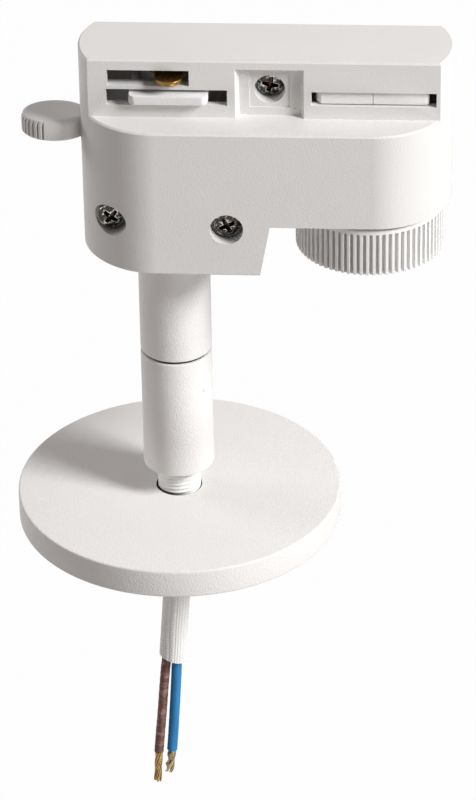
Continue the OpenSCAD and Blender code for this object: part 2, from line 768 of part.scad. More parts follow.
module lock_rotor() {
    color(white) difference() {
        translate([knob_x, 0, 0]) rotate(90)
            rotor(lug_bottom_z, -lug_z, knob_top_z, knob_shank_z + shank_short) knob_lug_outline();
        box([knob_x + split_x - split_w / 2, -lug_w / 2 - cut, lug_bottom_z - cut],
            [knob_x + split_x + split_w / 2, split_w - lug_w / 2, cut - lug_z]);
    }
}

// Contact blade with a round tip that points to -Y
module contact_blade() {
    tip = contact_reach - contact_w / 2;
    translate([0, 0, seat_z]) linear_extrude(contact_t) difference() {
        union() {
            circle(d = hub_d);
            translate([contact_off, -tip]) circle(d = contact_w);
            translate([contact_off - contact_w / 2, -tip]) square([contact_w, tip]);
        }
        neck_outline(slip_clear);
    }
}

module line_contact() {
    color(brass) translate([stem_x, 0, 0]) contact_blade();
}

module neutral_contact() {
    color(brass) translate([knob_x, 0, 0]) rotate(90) contact_blade();
}

// Square hole for a rotor's shank
module shank_hole(z0, z1) {
    half = shank_w / 2 + slip_clear;
    box([-half, -half, z0], [half, half, z1]);
}

// Outline of the lever's grip at a level z, set in by an amount: an oval with grooves between the tip's ribs
function grip_ring(z, inset, groove) =
    let (
        rib = lever_rib_span / lever_ribs,
        start = 180 - lever_rib_span / 2,
        plain = 360 - lever_rib_span,
        sides = 16,
        ribbed = [for (i = [0:lever_ribs - 1]) let (a = start + i * rib) each [
            [a, 0], [a + 0.45 * rib, 0], [a + 0.7 * rib, groove]
        ]],
        smooth = [for (i = [0:sides - 1]) [start + lever_rib_span + i * plain / sides, 0]]
    )
    [for (p = concat(ribbed, smooth)) [
        (grip_len / 2 - inset - p[1]) * cos(p[0]), (grip_w / 2 - inset - p[1]) * sin(p[0]), z
    ]];

// Lever that points to -X: a hub, a neck and an oval grip with a ribbed tip
module lock_lever() {
    half = lever_w / 2;
    bevel = lever_bevel;
    grip_x = grip_len / 2 - lever_reach;
    shoulder = grip_round * (1 - cos(45));
    color(white) translate([stem_x, 0, lever_bottom_z]) difference() {
        union() {
            cylinder(d = lever_hub_d, h = lever_t);
            translate([grip_x, 0, lever_t]) rotate([0, 90, 0]) linear_extrude(-grip_x) polygon([
                [0, bevel - half], [0, half - bevel], [bevel, half], [lever_t - bevel, half],
                [lever_t, half - bevel], [lever_t, bevel - half], [lever_t - bevel, -half], [bevel, -half]
            ]);
            translate([grip_x, 0, 0]) stacked([
                grip_ring(0, bevel, 0),
                grip_ring(bevel, 0, lever_rib_h),
                grip_ring(lever_t - grip_round, 0, lever_rib_h),
                grip_ring(lever_t - shoulder, shoulder, 0),
                grip_ring(lever_t, grip_round, 0)
            ]);
        }
        shank_hole(-cut, lever_t + cut);
    }
}

module lever_washer() {
    color(steel) ring_z(stem_x, hold_washer_d, screw_d + 2 * screw_clear,
        lever_bottom_z - hold_washer_t, lever_bottom_z);
}

// Screw that points up on a rotor's axis, its seat at level z
module hold_screw(x, z, l) {
    color(steel) translate([x, 0, z]) cross_screw(screw_d, l, screw_head_d, screw_head_h);
}

module lever_screw() {
    hold_screw(stem_x, lever_bottom_z - hold_washer_t, hold_len);
}

// Ribbed knob, hollow from above, with a boss for the shank
module lock_knob() {
    r = knob_d / 2;
    root = r - knob_rib_h;
    pitch = 360 / knob_ribs;
    color(white) translate([knob_x, 0, 0]) difference() {
        union() {
            translate([0, 0, knob_bottom_z]) linear_extrude(knob_h - knob_rim_h) polygon([
                for (i = [0:knob_ribs - 1]) let (a = i * pitch) each [
                    root * [cos(a), sin(a)], root * [cos(a + 0.25 * pitch), sin(a + 0.25 * pitch)],
                    r * [cos(a + 0.45 * pitch), sin(a + 0.45 * pitch)],
                    r * [cos(a + 0.8 * pitch), sin(a + 0.8 * pitch)]
                ]
            ]);
            rod_z(0, 2 * (root + knob_rib_h / 2), knob_top_z - knob_rim_h, knob_top_z);
        }
        difference() {
            rod_z(0, 2 * (root - knob_wall), knob_bottom_z + knob_wall, knob_top_z + cut);
            rod_z(0, knob_boss_d, knob_bottom_z + knob_wall - cut, knob_top_z + 2 * cut);
        }
        shank_hole(knob_shank_z, knob_top_z + 3 * cut);
        rod_z(0, screw_d + 2 * screw_clear, hold_seat_z - cut, knob_shank_z + cut);
        rod_z(0, hold_bore_d, knob_bottom_z - cut, hold_seat_z);
        rod_z(0, cap_d + 2 * slip_clear, knob_bottom_z - cut, knob_bottom_z + cap_t);
    }
}

module knob_washer() {
    color(steel) ring_z(knob_x, knob_washer_d, journal_d + 4 * run_clear, knob_top_z, step_z - run_clear);
}

module knob_screw() {
    hold_screw(knob_x, hold_seat_z, hold_len);
}

module knob_cap() {
    color(white) rod_z(knob_x, cap_d, knob_bottom_z, knob_bottom_z + cap_t);
}

// Spring leaf from a rotor's contact to a tab beside the rear shell's post; side -1 is the lever's end
module wiper(rotor_x, side) {
    tab_x = pocket_x + side * tab_dx;
    start = rotor_x - side * (neck_d / 2 + 2 * move_clear);
    low = run_clear - contact_z;
    y0 = wiper_y - wiper_w / 2;
    y1 = wiper_y + wiper_w / 2;
    color(brass) {
        box([min(start, tab_x), y0, low], [max(start, tab_x), y1, low + wiper_t]);
        box([min(tab_x, tab_x + side * wiper_t), y0, low + wiper_t - wiper_drop],
            [max(tab_x, tab_x + side * wiper_t), y1, low + wiper_t]);
    }
}

module line_wiper() {
    wiper(stem_x, -1);
}

module neutral_wiper() {
    wiper(knob_x, 1);
}

module line_lead() {
    color("saddlebrown") swept(line_route, lead_d, 8);
}

module neutral_lead() {
    color("royalblue") swept(neutral_route, lead_d, 8);
}

// Bar that presses the sleeve against the rear shell's saddle
module cord_clamp() {
    color(white) difference() {
        box([stem_x - clamp_half, -clamp_deep, clamp_z - clamp_h / 2],
            [stem_x + clamp_half, 0, clamp_z + clamp_h / 2]);
        rod_z(stem_x, sleeve_d + 2 * slip_clear, clamp_z - clamp_h, clamp_z + clamp_h);
        for (s = [-1, 1])
            rod_y(stem_x + s * clamp_screw_dx, clamp_z, clamp_screw_d + 2 * screw_clear,
                -clamp_deep - cut, cut);
    }
}

module clamp_screws() {
    for (s = [-1, 1])
        color(steel) translate([stem_x + s * clamp_screw_dx, -clamp_deep, clamp_z]) rotate([-90, 0, 0])
            cross_screw(clamp_screw_d, clamp_deep + clamp_screw_in, clamp_head_d, clamp_head_h);
}

// Hexagon nut on the stem's axis
module hex_nut(z0, h) {
    color(steel) difference() {
        translate([stem_x, 0, z0]) cylinder(d = nut_flats / cos(30), h = h, $fn = 6);
        rod_z(stem_x, thread_d + 2 * slip_clear, z0 - cut, z0 + h + cut);
    }
}

module stem_nipple() {
    top = bottom_z + wall + washer_t + stem_nut_h + thread_out;
    color(steel) ring_z(stem_x, thread_d, thread_bore, bottom_z - thread_grip, top);
}

module stem_washer() {
    low = bottom_z + wall;
    color(steel) ring_z(stem_x, washer_d, thread_d + 4 * slip_clear, low, low + washer_t);
}

module stem_nut() {
    hex_nut(bottom_z + wall + washer_t, stem_nut_h);
}

// Turned tube on the stem's axis with bevelled outer edges
module turned_stem(z0, z1) {
    r = stem_d / 2;
    translate([stem_x, 0, 0]) rotate_extrude() polygon([
        [0, z0], [r - stem_bevel, z0], [r, z0 + stem_bevel],
        [r, z1 - stem_bevel], [r - stem_bevel, z1], [0, z1]
    ]);
}

module upper_stem() {
    color(white) difference() {
        turned_stem(seam_z, bottom_z);
        rod_z(stem_x, thread_d + 2 * slip_clear, seam_z - cut, bottom_z + cut);
    }
}

module seam_washer() {
    color("dimgray") ring_z(stem_x, stem_d - 2 * seam_inset, thread_d + 4 * slip_clear,
        swivel_z + run_clear, seam_z);
}

// Hollow shoulder bolt that hangs the lower stem from the upper one
module swivel_bolt() {
    color(steel) difference() {
        union() {
            rod_z(stem_x, thread_d, flange_z, seam_z + thread_grip);
            rod_z(stem_x, stem_bore - 2 * move_clear, flange_z - flange_t, flange_z);
        }
        rod_z(stem_x, thread_bore, flange_z - flange_t - cut, seam_z + thread_grip + cut);
    }
}

module swivel_spring() {
    color(steel) ring_z(stem_x, stem_bore - 2 * move_clear, thread_d + 4 * slip_clear,
        flange_z, flange_z + swivel_spring_t);
}

module lower_stem() {
    color(white) difference() {
        turned_stem(stem_end_z, swivel_z);
        rod_z(stem_x, thread_d + 2 * run_clear, stem_end_z - cut, swivel_z + cut);
        rod_z(stem_x, stem_bore, stem_end_z - cut, swivel_z - swivel_wall);
    }
}

module stem_bush() {
    top = stem_end_z + thread_grip;
    color(steel) ring_z(stem_x, stem_bore, thread_d + 2 * slip_clear, stem_end_z, top);
}

// Threaded tube that carries the disc, painted down to the disc's nut
module disc_nipple() {
    nut_low = disc_nut_z - disc_nut_h;
    color(white) difference() {
        union() {
            rod_z(stem_x, thread_d, nut_low, stem_end_z + thread_grip);
            rod_z(stem_x, relief_d, nut_low - relief_h, nut_low);
            rod_z(stem_x, free_end_d, nipple_end_z, nut_low - relief_h);
        }
        rod_z(stem_x, thread_bore, nipple_end_z - cut, stem_end_z + thread_grip + cut);
    }
}

// Shallow turned pan with its hollow side down
module canopy_disc() {
    r = disc_d / 2;
    low = disc_z - disc_h;
    color(white) translate([stem_x, 0, 0]) rotate_extrude($fn = 160) polygon([
        [disc_hole / 2, disc_z], [r - disc_bevel, disc_z], [r, disc_z - disc_bevel], [r, low + disc_bevel],
        [r - disc_bevel, low], [r - disc_t, low],
        [r - disc_t, disc_z - disc_t], [disc_hole / 2, disc_z - disc_t]
    ]);
}

module disc_washer() {
    color(steel) ring_z(stem_x, washer_d, thread_d + 4 * slip_clear, disc_nut_z, disc_z - disc_t);
}

module disc_nut() {
    hex_nut(disc_nut_z - disc_nut_h, disc_nut_h);
}

module stem_sleeve() {
    color(white) rod_z(stem_x, sleeve_d, sleeve_route[0].z, sleeve_top_z);
}

module cord_sleeve() {
    color(white) swept(sleeve_route, sleeve_d, 12);
}

module brown_wire() {
    color("saddlebrown") swept(brown_route, brown_d, 8);
}

module blue_wire() {
    color("royalblue") swept(blue_route, blue_d, 8);
}

module brown_strands() {
    color(brass) swept(brown_strand_route, strand_d, 8);
}

module blue_strands() {
    color(brass) swept(blue_strand_route, strand_d, 8);
}

front_shell();
rear_shell();
head_screw();
corner_screw();
inner_screw();
contact_rotor();
line_contact();
lock_lever();
lever_washer();
lever_screw();
lock_rotor();
neutral_contact();
lock_knob();
knob_washer();
knob_screw();
knob_cap();
line_wiper();
neutral_wiper();
line_lead();
neutral_lead();
cord_clamp();
clamp_screws();
stem_nipple();
stem_washer();
stem_nut();
upper_stem();
seam_washer();
swivel_bolt();
swivel_spring();
lower_stem();
stem_bush();
disc_nipple();
canopy_disc();
disc_washer();
disc_nut();
stem_sleeve();
cord_sleeve();
brown_wire();
blue_wire();
brown_strands();
blue_strands();
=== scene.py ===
"""Looks of a white track light adapter: housing, lever, knob, stem, disc and cord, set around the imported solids."""
import json
import math

import bmesh
import bpy
import numpy as np
from mathutils import Matrix, Vector


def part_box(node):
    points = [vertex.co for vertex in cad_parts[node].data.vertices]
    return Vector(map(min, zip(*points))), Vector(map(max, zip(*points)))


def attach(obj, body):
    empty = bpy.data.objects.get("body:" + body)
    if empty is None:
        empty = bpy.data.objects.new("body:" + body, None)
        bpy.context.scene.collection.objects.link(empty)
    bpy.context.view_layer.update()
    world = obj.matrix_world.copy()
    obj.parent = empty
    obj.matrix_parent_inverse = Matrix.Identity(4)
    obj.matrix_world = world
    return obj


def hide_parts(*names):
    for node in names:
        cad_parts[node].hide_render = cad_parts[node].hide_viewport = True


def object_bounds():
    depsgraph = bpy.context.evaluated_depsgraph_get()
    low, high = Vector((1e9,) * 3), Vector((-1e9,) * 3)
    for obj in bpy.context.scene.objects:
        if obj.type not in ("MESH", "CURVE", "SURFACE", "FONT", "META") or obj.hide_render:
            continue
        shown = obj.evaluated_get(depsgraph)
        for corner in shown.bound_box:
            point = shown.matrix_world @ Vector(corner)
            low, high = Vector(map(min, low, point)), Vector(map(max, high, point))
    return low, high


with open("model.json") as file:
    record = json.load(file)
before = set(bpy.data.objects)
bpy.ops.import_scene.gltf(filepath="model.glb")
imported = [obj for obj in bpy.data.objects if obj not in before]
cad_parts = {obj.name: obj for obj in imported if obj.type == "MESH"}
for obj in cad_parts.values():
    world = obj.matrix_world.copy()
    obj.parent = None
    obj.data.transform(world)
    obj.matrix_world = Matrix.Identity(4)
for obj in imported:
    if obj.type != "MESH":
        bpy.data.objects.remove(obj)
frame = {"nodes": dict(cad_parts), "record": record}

bl_info = {
    "name": "Track Light Adapter",
    "version": (1, 0, 0),
    "blender": (4, 5, 0),
    "location": "View3D > Sidebar > Track Adapter",
    "description": "Builds the looks of a track light adapter around its solids",
    "category": "Object",
}

CAD_BOX = [list(corner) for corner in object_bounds()]
MM = 0.001
TURN = 2 * math.pi

# Points closer than this are one point: in grids and in solids
GRID_WELD, SOLID_WELD = 1e-7, 1e-6
# Faces of a solid that turn less than the first angle are one flat; edges above the second stay sharp
FLAT_ANGLE, SHARP_ANGLE = math.radians(0.4), math.radians(42)
# Points on one eased corner
EASE_STEPS = 6

# Axis of the stem and of the knob, from the solids
STEM_LOW, STEM_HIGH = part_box("upper_stem")
STEM_X = (STEM_LOW.x + STEM_HIGH.x) / 2
KNOB_LOW, KNOB_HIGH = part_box("lock_knob")
KNOB_X = (KNOB_LOW.x + KNOB_HIGH.x) / 2

# Direction from the nipple in which the disc's gap gets a painted shadow
GRIME_WAY = math.radians(-142)


# Settings that a user would change

def length_setting(title, words, value, least=0):
    """A length setting, in metres."""
    return bpy.props.FloatProperty(
        name=title, description=words, default=value, min=least, subtype="DISTANCE", unit="LENGTH", precision=5)


def count_setting(title, words, value, least, most):
    """A whole number setting."""
    return bpy.props.IntProperty(name=title, description=words, default=value, min=least, max=most)


def power_setting(title, words, value):
    """A lamp's power setting, in watts."""
    return bpy.props.FloatProperty(name=title, description=words, default=value, min=0, unit="POWER")


def colour_setting(title, words, value):
    """A colour setting."""
    return bpy.props.FloatVectorProperty(
        name=title, description=words, default=value, size=3, min=0, max=1, subtype="COLOR")


class AdapterShape(bpy.types.PropertyGroup):
    """Sizes of the fine shapes that the solids leave plain."""

    edge: length_setting("Moulded edge", "Rounding of the moulded edges", 0.28 * MM)
    knob_ribs: count_setting("Knob ribs", "Ribs around the knob", 72, 24, 120)
    rib_depth: length_setting("Rib depth", "Depth of the grooves between the knob's ribs", 1.0 * MM)
    thread_pitch: length_setting("Thread pitch", "Pitch of the nipple's thread", 1.0 * MM, 0.2 * MM)
    thread_depth: length_setting("Thread depth", "Depth of the nipple's painted thread", 0.4 * MM)
    yarns: count_setting("Sleeve yarns", "Lengthwise yarns around the sleeve", 26, 8, 60)
    strands: count_setting("Copper strands", "Fine wires in each bare end", 20, 5, 40)


class AdapterColours(bpy.types.PropertyGroup):
    """Colours of the finishes."""

    plastic: colour_setting("Plastic", "White moulded plastic of the housing", (0.80, 0.795, 0.785))
    # The lug's plastic is lighter than the housing's: partly a cleaner plastic, partly painted light for its front,
    # which catches more light
    lug: colour_setting("Lug", "Cleaner white plastic of the lever's rotor", (0.93, 0.92, 0.94))
    knob: colour_setting("Knob", "Cleaner white plastic of the knob and its rotor", (0.93, 0.925, 0.915))
    paint: colour_setting("Paint", "White powder coat of the stem and the disc", (0.87, 0.862, 0.852))
    brass: colour_setting("Brass", "Contact blades", (0.38, 0.225, 0.07))
    screw: colour_setting("Screws", "Burnished steel of the housing screws", (0.06, 0.05, 0.042))
    zinc: colour_setting("Zinc", "Plated washers and nuts", (0.62, 0.62, 0.6))
    seam: colour_setting("Seam", "Fibre washer in the stem's seam", (0.01, 0.01, 0.01))
    sleeve: colour_setting("Sleeve", "Woven sleeve of the cord", (0.93, 0.93, 0.92))
    brown: colour_setting("Brown", "Insulation of the brown wire", (0.17, 0.08, 0.066))
    blue: colour_setting("Blue", "Insulation of the blue wire", (0.03, 0.235, 0.53))
    copper: colour_setting("Copper", "Bare strands of the brown wire", (0.48, 0.315, 0.12))
    tinned: colour_setting("Tinned copper", "Bare strands of the blue wire", (0.66, 0.53, 0.33))


class AdapterStage(bpy.types.PropertyGroup):
    """Light around the object."""

    ambient: bpy.props.FloatProperty(
        name="Ambient", description="Strength of the even light from all round", default=0.235, min=0)
    key: power_setting("Key light", "Power of the soft light on the right", 17.6)
    fill: power_setting("Fill light", "Power of the weak light behind on the left", 4.2)
    front: power_setting("Front light", "Power of the weak light in front, below the object", 3.6)
    floor_drop: length_setting("Floor drop", "Depth of the floor below the cord's end", 2.2)


class AdapterSettings(bpy.types.PropertyGroup):
    """All settings of the adapter."""

    shape: bpy.props.PointerProperty(type=AdapterShape)
    colours: bpy.props.PointerProperty(type=AdapterColours)
    stage: bpy.props.PointerProperty(type=AdapterStage)


# Shader maths

class Value:
    """An output socket on which + - * add Math nodes."""

    def __init__(self, finish, socket):
        self.finish = finish
        self.socket = socket

    def __add__(self, other):
        return self.finish.maths("ADD", self, other)

    def __sub__(self, other):
        return self.finish.maths("SUBTRACT", self, other)

    def __rsub__(self, other):
        return self.finish.maths("SUBTRACT", other, self)

    def __mul__(self, other):
        return self.finish.maths("MULTIPLY", self, other)

    __radd__ = __add__
    __rmul__ = __mul__


class Finish:
    """One material's node tree. node() adds any node: its settings are set first, then its sockets."""

    def __init__(self, tree):
        self.tree = tree
        tree.nodes.clear()

    def node(self, kind, settings=None, sockets=None, output=0):
        """Adds a node and returns one of its outputs."""
        made = self.tree.nodes.new(kind)
        for key, value in (settings or {}).items():
            setattr(made, key, value)
        for key, value in (sockets or {}).items():
            if isinstance(value, Value):
                self.tree.links.new(value.socket, made.inputs[key])
            else:
                made.inputs[key].default_value = value
        return Value(self, made.outputs[output]) if len(made.outputs) else made

    def maths(self, operation, a, b):
        """A Math node on two values."""
        return self.node("ShaderNodeMath", {"operation": operation}, {0: a, 1: b})

    def clamp(self, value):
        """A value held between 0 and 1."""
        return self.node("ShaderNodeClamp", None, {"Value": value})

    def mix(self, share, a, b):
        """Colour a at share 0 and colour b at share 1."""
        settings = {"data_type": "RGBA"}
        return self.node("ShaderNodeMix", settings, {0: share, 6: rgba(a), 7: rgba(b)}, output=2)

    def place(self, stretch=(1, 1, 1)):
        """Object coordinates, stretched along the axes."""
        where = self.node("ShaderNodeTexCoord", output="Object")
        return self.node("ShaderNodeMapping", None, {"Vector": where, "Scale": stretch})

    def noise(self, scale, where, detail=2.0, roughness=0.5):
        """Noise from 0 to 1 with about scale blobs in a metre."""
        sockets = {"Vector": where, "Scale": scale, "Detail": detail, "Roughness": roughness}
        return self.node("ShaderNodeTexNoise", None, sockets)

    def specks(self, scale, where, share, size):
        """1 on sparse round specks: cells whose random number is in the share, near their centres."""
        sockets = {"Vector": where, "Scale": scale}
        near = self.node("ShaderNodeTexVoronoi", None, sockets, output="Distance")
        pick = self.node("ShaderNodeTexVoronoi", None, sockets, output="Color")
        odds = self.node("ShaderNodeSeparateColor", None, {"Color": pick}, output="Red")
        return self.maths("LESS_THAN", near, size) * self.maths("LESS_THAN", odds, share)

    def hollow(self):
        """The piece's own hollow attribute: up to 1 in grooves and gaps for painted shade, 0 on plain surfaces, and
        down to -1 on rubbed edges for wear and painted highlights.
        """
        return self.node("ShaderNodeAttribute", {"attribute_name": "hollow"}, output="Fac")

    def bump(self, height, distance, strength=1.0):
        """Normals of a height from 0 to 1, as deep as distance."""
        sockets = {"Height": height, "Distance": distance, "Strength": strength}
        return self.node("ShaderNodeBump", None, sockets)

    def surface(self, sockets):
        """Ends the tree with a Principled surface."""
        shader = self.node("ShaderNodeBsdfPrincipled", None, sockets)
        self.node("ShaderNodeOutputMaterial", None, {"Surface": shader})


def rgba(value):
    """A colour with full alpha, or a link as it is."""
    return value if isinstance(value, Value) else (*value, 1.0)


def shade(value, factor):
    """A colour made darker or lighter by a factor."""
    return tuple(min(1.0, channel * factor) for channel in value)


def new_finish(name):
    """A material and its empty tree."""
    material = bpy.data.materials.new(name)
    material.use_nodes = True
    return material, Finish(material.node_tree)


def moulded_plastic(name, tint):
    """Satin white plastic: spark-eroded grain, a slow drift of tone, specks of dust, and painted shade in its
    hollows.
    """
    material, f = new_finish(name)
    where = f.place()
    grain = f.noise(2700, where, detail=3, roughness=0.6)
    drift = f.noise(70, where)
    dust = f.specks(150, where, 0.08, 0.045)
    base = f.mix(0.4 * drift + 0.6 * grain, shade(tint, 0.92), shade(tint, 1.08))
    # Painted shade: darker where the hollow attribute is high, in grooves, slots and screw holes
    base = f.mix(f.clamp(f.hollow()) * 0.8, base, shade(tint, 0.12))
    f.surface({
        "Base Color": f.mix(dust * 0.5, base, shade(tint, 0.35)),
        "Roughness": 0.38 + 0.12 * drift + 0.08 * grain,
        "Normal": f.bump(grain, 0.075 * MM, 0.7),
    })
    return material


def powder_coat(tint):
    """White powder coat: tight orange peel under a fine grain, with sparse specks and a painted shadow in narrow
    gaps.
    """
    material, f = new_finish("powder_coat")
    where = f.place()
    peel = f.noise(2000, where, detail=2)
    grain = f.noise(4000, where, detail=2)
    drift = f.noise(45, where)
    dust = f.specks(130, where, 0.07, 0.045)
    base = f.mix(0.5 * drift + 0.5 * grain, shade(tint, 0.95), shade(tint, 1.05))
    # Painted shadow: near black in the gap round the nipple, on its shaded side
    base = f.mix(f.clamp(f.hollow()) * 0.95, base, shade(tint, 0.04))
    f.surface({
        "Base Color": f.mix(dust * 0.5, base, shade(tint, 0.4)),
        "Roughness": 0.48 + 0.1 * grain,
        "Normal": f.bump(0.7 * peel + 0.3 * grain, 0.17 * MM, 0.8),
    })
    return material


def rubbed_metal(name, tint, dark, rough, stretch):
    """Bare metal with rubbing marks along one axis and darker tarnish in patches."""
    material, f = new_finish(name)
    marks = f.noise(1500, f.place(stretch), detail=3, roughness=0.7)
    tarnish = f.noise(260, f.place(), detail=3, roughness=0.6)
    stain = f.clamp(2.4 * tarnish - 0.8)
    f.surface({
        "Base Color": f.mix(stain, dark, tint),
        "Metallic": 1.0,
        "Roughness": rough + 0.22 * marks - 0.1 * stain,
        "Normal": f.bump(marks, 0.01 * MM, 0.5),
    })
    return material


def burnished_screw(tint, bright):
    """Burnished steel: painted shade in its recess, wear and painted glints on its edges, fine marks in its gloss."""
    material, f = new_finish("burnished_screw")
    marks = f.noise(2200, f.place(), detail=3, roughness=0.7)
    hollow = f.hollow()
    # Painted shade in the recess
    grime = f.clamp(hollow)
    # Painted glints: sparse bright flecks
    flecks = f.clamp(7.0 * f.noise(1500, f.place(), detail=2) - 4.0)
    patches = f.clamp(7.0 * f.noise(620, f.place(), detail=1) - 3.1)
    # Wear and painted highlights on the rubbed edges, broken into patches, with the painted glints
    rubbed = f.clamp((0 - hollow) * patches * (4.0 * marks - 0.8) + flecks)
    base = f.mix(marks, shade(tint, 0.5), shade(tint, 1.5))
    # Painted shade: the recess dark brown
    base = f.mix(grime, base, (0.085, 0.05, 0.034))
    f.surface({
        "Base Color": f.mix(rubbed, base, bright),
        "Metallic": 1.0,
        "Roughness": 0.14 + 0.16 * marks + 0.2 * grime,
        "Normal": f.bump(marks, 0.015 * MM, 0.5),
    })
    return material


def seam_fibre(tint):
    """Dark fibre with a matt, felted surface."""
    material, f = new_finish("seam_fibre")
    felt = f.noise(2600, f.place((1, 1, 0.3)), detail=3)
    f.surface({
        "Base Color": f.mix(felt, shade(tint, 0.6), shade(tint, 1.6)),
        "Roughness": 0.7 + 0.2 * felt,
        "Specular IOR Level": 0.15,
        "Normal": f.bump(felt, 0.02 * MM, 0.6),
    })
    return material


def woven_sleeve(tint):
    """White glass-fibre sleeve: pale yarns, with painted shade in the gaps between them and in the bore."""
    material, f = new_finish("woven_sleeve")
    fibre = f.noise(2400, f.place((1, 1, 0.15)), detail=3, roughness=0.7)
    # Painted shade: greyer in the gaps between yarns and in the bore
    base = f.mix(f.clamp(1.4 * f.hollow() - 0.2), shade(tint, 1.03), shade(tint, 0.92))
    f.surface({
        "Base Color": f.mix(fibre * 0.25, base, shade(tint, 0.88)),
        "Roughness": 0.62 + 0.2 * fibre,
        "Normal": f.bump(fibre, 0.03 * MM, 0.5),
    })
    return material


def insulation(name, tint, pale, creases):
    """Satin insulation: darker and lighter streaks along the wire, with pale scuffs and wrinkles across it."""
    material, f = new_finish(name)
    streaks = f.noise(900, f.place((1, 1, 0.1)), detail=2)
    scuffs = f.noise(620, f.place((0.6, 0.6, 1.2)), detail=3, roughness=0.65)
    worn = f.clamp(4.2 * scuffs - 2.0)
    base = f.mix(streaks, shade(tint, 0.6), shade(tint, 1.4))
    f.surface({
        "Base Color": f.mix(worn * creases, base, pale),
        "Roughness": 0.34 + 0.16 * streaks + 0.1 * worn,
        "Specular IOR Level": 0.15,
        "Normal": f.bump(0.4 * streaks + 0.6 * scuffs, 0.07 * MM, 0.4 + 0.4 * creases),
    })
    return material


# Grids of points

def skin(rows, columns, wrap_rows=False, wrap_columns=True):
    """Quads between the points of a grid, row by row; a wrapped side joins its last line to its first."""
    i, j = np.meshgrid(np.arange(rows - (not wrap_rows)), np.arange(columns - (not wrap_columns)), indexing="ij")
    down, along = (i + 1) % rows, (j + 1) % columns
    quads = [i * columns + j, i * columns + along, down * columns + along, down * columns + j]
    return np.stack(quads, -1).reshape(-1, 4)


def ramp(value, low, high):
    """0 below low, 1 above high, and a smooth S between them."""
    t = np.clip((value - low) / (high - low), 0, 1)
    return t * t * (3 - 2 * t)


def eased(corners, radii):
    """Closed outline with soft corners: a quadratic curve from one radius before each corner to one radius after."""
    p = np.asarray(corners, float)
    reach = np.asarray(radii, float)[:, None]
    before = np.roll(p, 1, 0) - p
    after = np.roll(p, -1, 0) - p
    start = p + reach * before / np.linalg.norm(before, axis=1, keepdims=True)
    end = p + reach * after / np.linalg.norm(after, axis=1, keepdims=True)
    t = np.linspace(0, 1, EASE_STEPS)[None, :, None]
    curve = (1 - t) ** 2 * start[:, None] + 2 * t * (1 - t) * p[:, None] + t ** 2 * end[:, None]
    return curve.reshape(-1, 2)


def turn_angles(turns):
    """Even angles of a full turn, one in each row."""
    return np.linspace(0, TURN, turns, endpoint=False)[:, None]


def turned(outline, axis_x, turns, swell=None):
    """Surface of revolution: each outline point's radius, with its swell at that angle, carried round the axis."""
    angle = turn_angles(turns)
    grid = (turns, len(outline))
    radius = np.broadcast_to(outline[:, 0] + (0 if swell is None else swell(angle, outline)), grid)
    height = np.broadcast_to(outline[:, 1], grid)
    x = axis_x + radius * np.cos(angle)
    y = radius * np.sin(angle)
    points = np.stack([x, y, height], -1).reshape(-1, 3)
    return points, skin(*grid, True, True)


def grime_side(turns):
    """Painted shadow in the gap round the nipple: 1 on its shaded side, by the cosine to 0 opposite; a row an angle.
    """
    return np.clip(0.25 + 0.9 * np.cos(turn_angles(turns) - GRIME_WAY), 0, 1)


def smooth_path(corners, count):
    """Even steps on a Catmull-Rom curve through the corners, in metres from millimetres."""
    p = np.asarray(corners, float) * MM
    p = np.concatenate([2 * p[:1] - p[1:2], p, 2 * p[-1:] - p[-2:-1]])
    t = np.linspace(0, len(p) - 3, count)
    i = np.minimum(t.astype(int), len(p) - 4)
    u = (t - i)[:, None]
    a, b, c, d = p[i], p[i + 1], p[i + 2], p[i + 3]
    return 0.5 * (2 * b + (c - a) * u + (2 * a - 5 * b + 4 * c - d) * u ** 2 + (3 * b - a - 3 * c + d) * u ** 3)


def path_frames(path):
    """Tangent, side and over vectors along a path that stays near the XZ plane."""
    tangent = np.gradient(path, axis=0)
    tangent /= np.linalg.norm(tangent, axis=1, keepdims=True)
    side = np.cross([0.0, 1.0, 0.0], tangent)
    side /= np.linalg.norm(side, axis=1, keepdims=True)
    return tangent, side, np.cross(tangent, side)


def rims(side, over, sides):
    """Unit vectors round a path at even angles: cosine times side plus sine times over at each of its points."""
    angle = turn_angles(sides)
    return np.cos(angle) * side[..., None, :] + np.sin(angle) * over[..., None, :]


def tube(path, radius, sides):
    """Round rod: at each path point a ring of the radius given for it, and rings of no radius close both ends."""
    _, side, over = path_frames(path)
    rings = path[:, None] + np.broadcast_to(radius, (len(path), sides))[:, :, None] * rims(side, over, sides)
    closed = np.concatenate([np.repeat(path[:1, None], sides, 1), rings, np.repeat(path[-1:, None], sides, 1)])
    return closed.reshape(-1, 3), skin(len(path) + 2, sides)


# Pieces from grids and from solids

def put_on_body(piece, body, nodes):
    """Links a finished piece, lets it ride on its body and hides the solids it stands for."""
    bpy.context.scene.collection.objects.link(piece)
    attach(piece, body)
    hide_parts(*nodes)
    return piece


def set_hollow(mesh, values):
    """Gives each point its hollow: from -1 on rubbed edges, for wear and painted highlights, to 1 in grooves, for
    painted shade.
    """
    layer = mesh.attributes.new("hollow", "FLOAT", "POINT")
    layer.data.foreach_set("value", np.ascontiguousarray(values, np.float32).ravel())


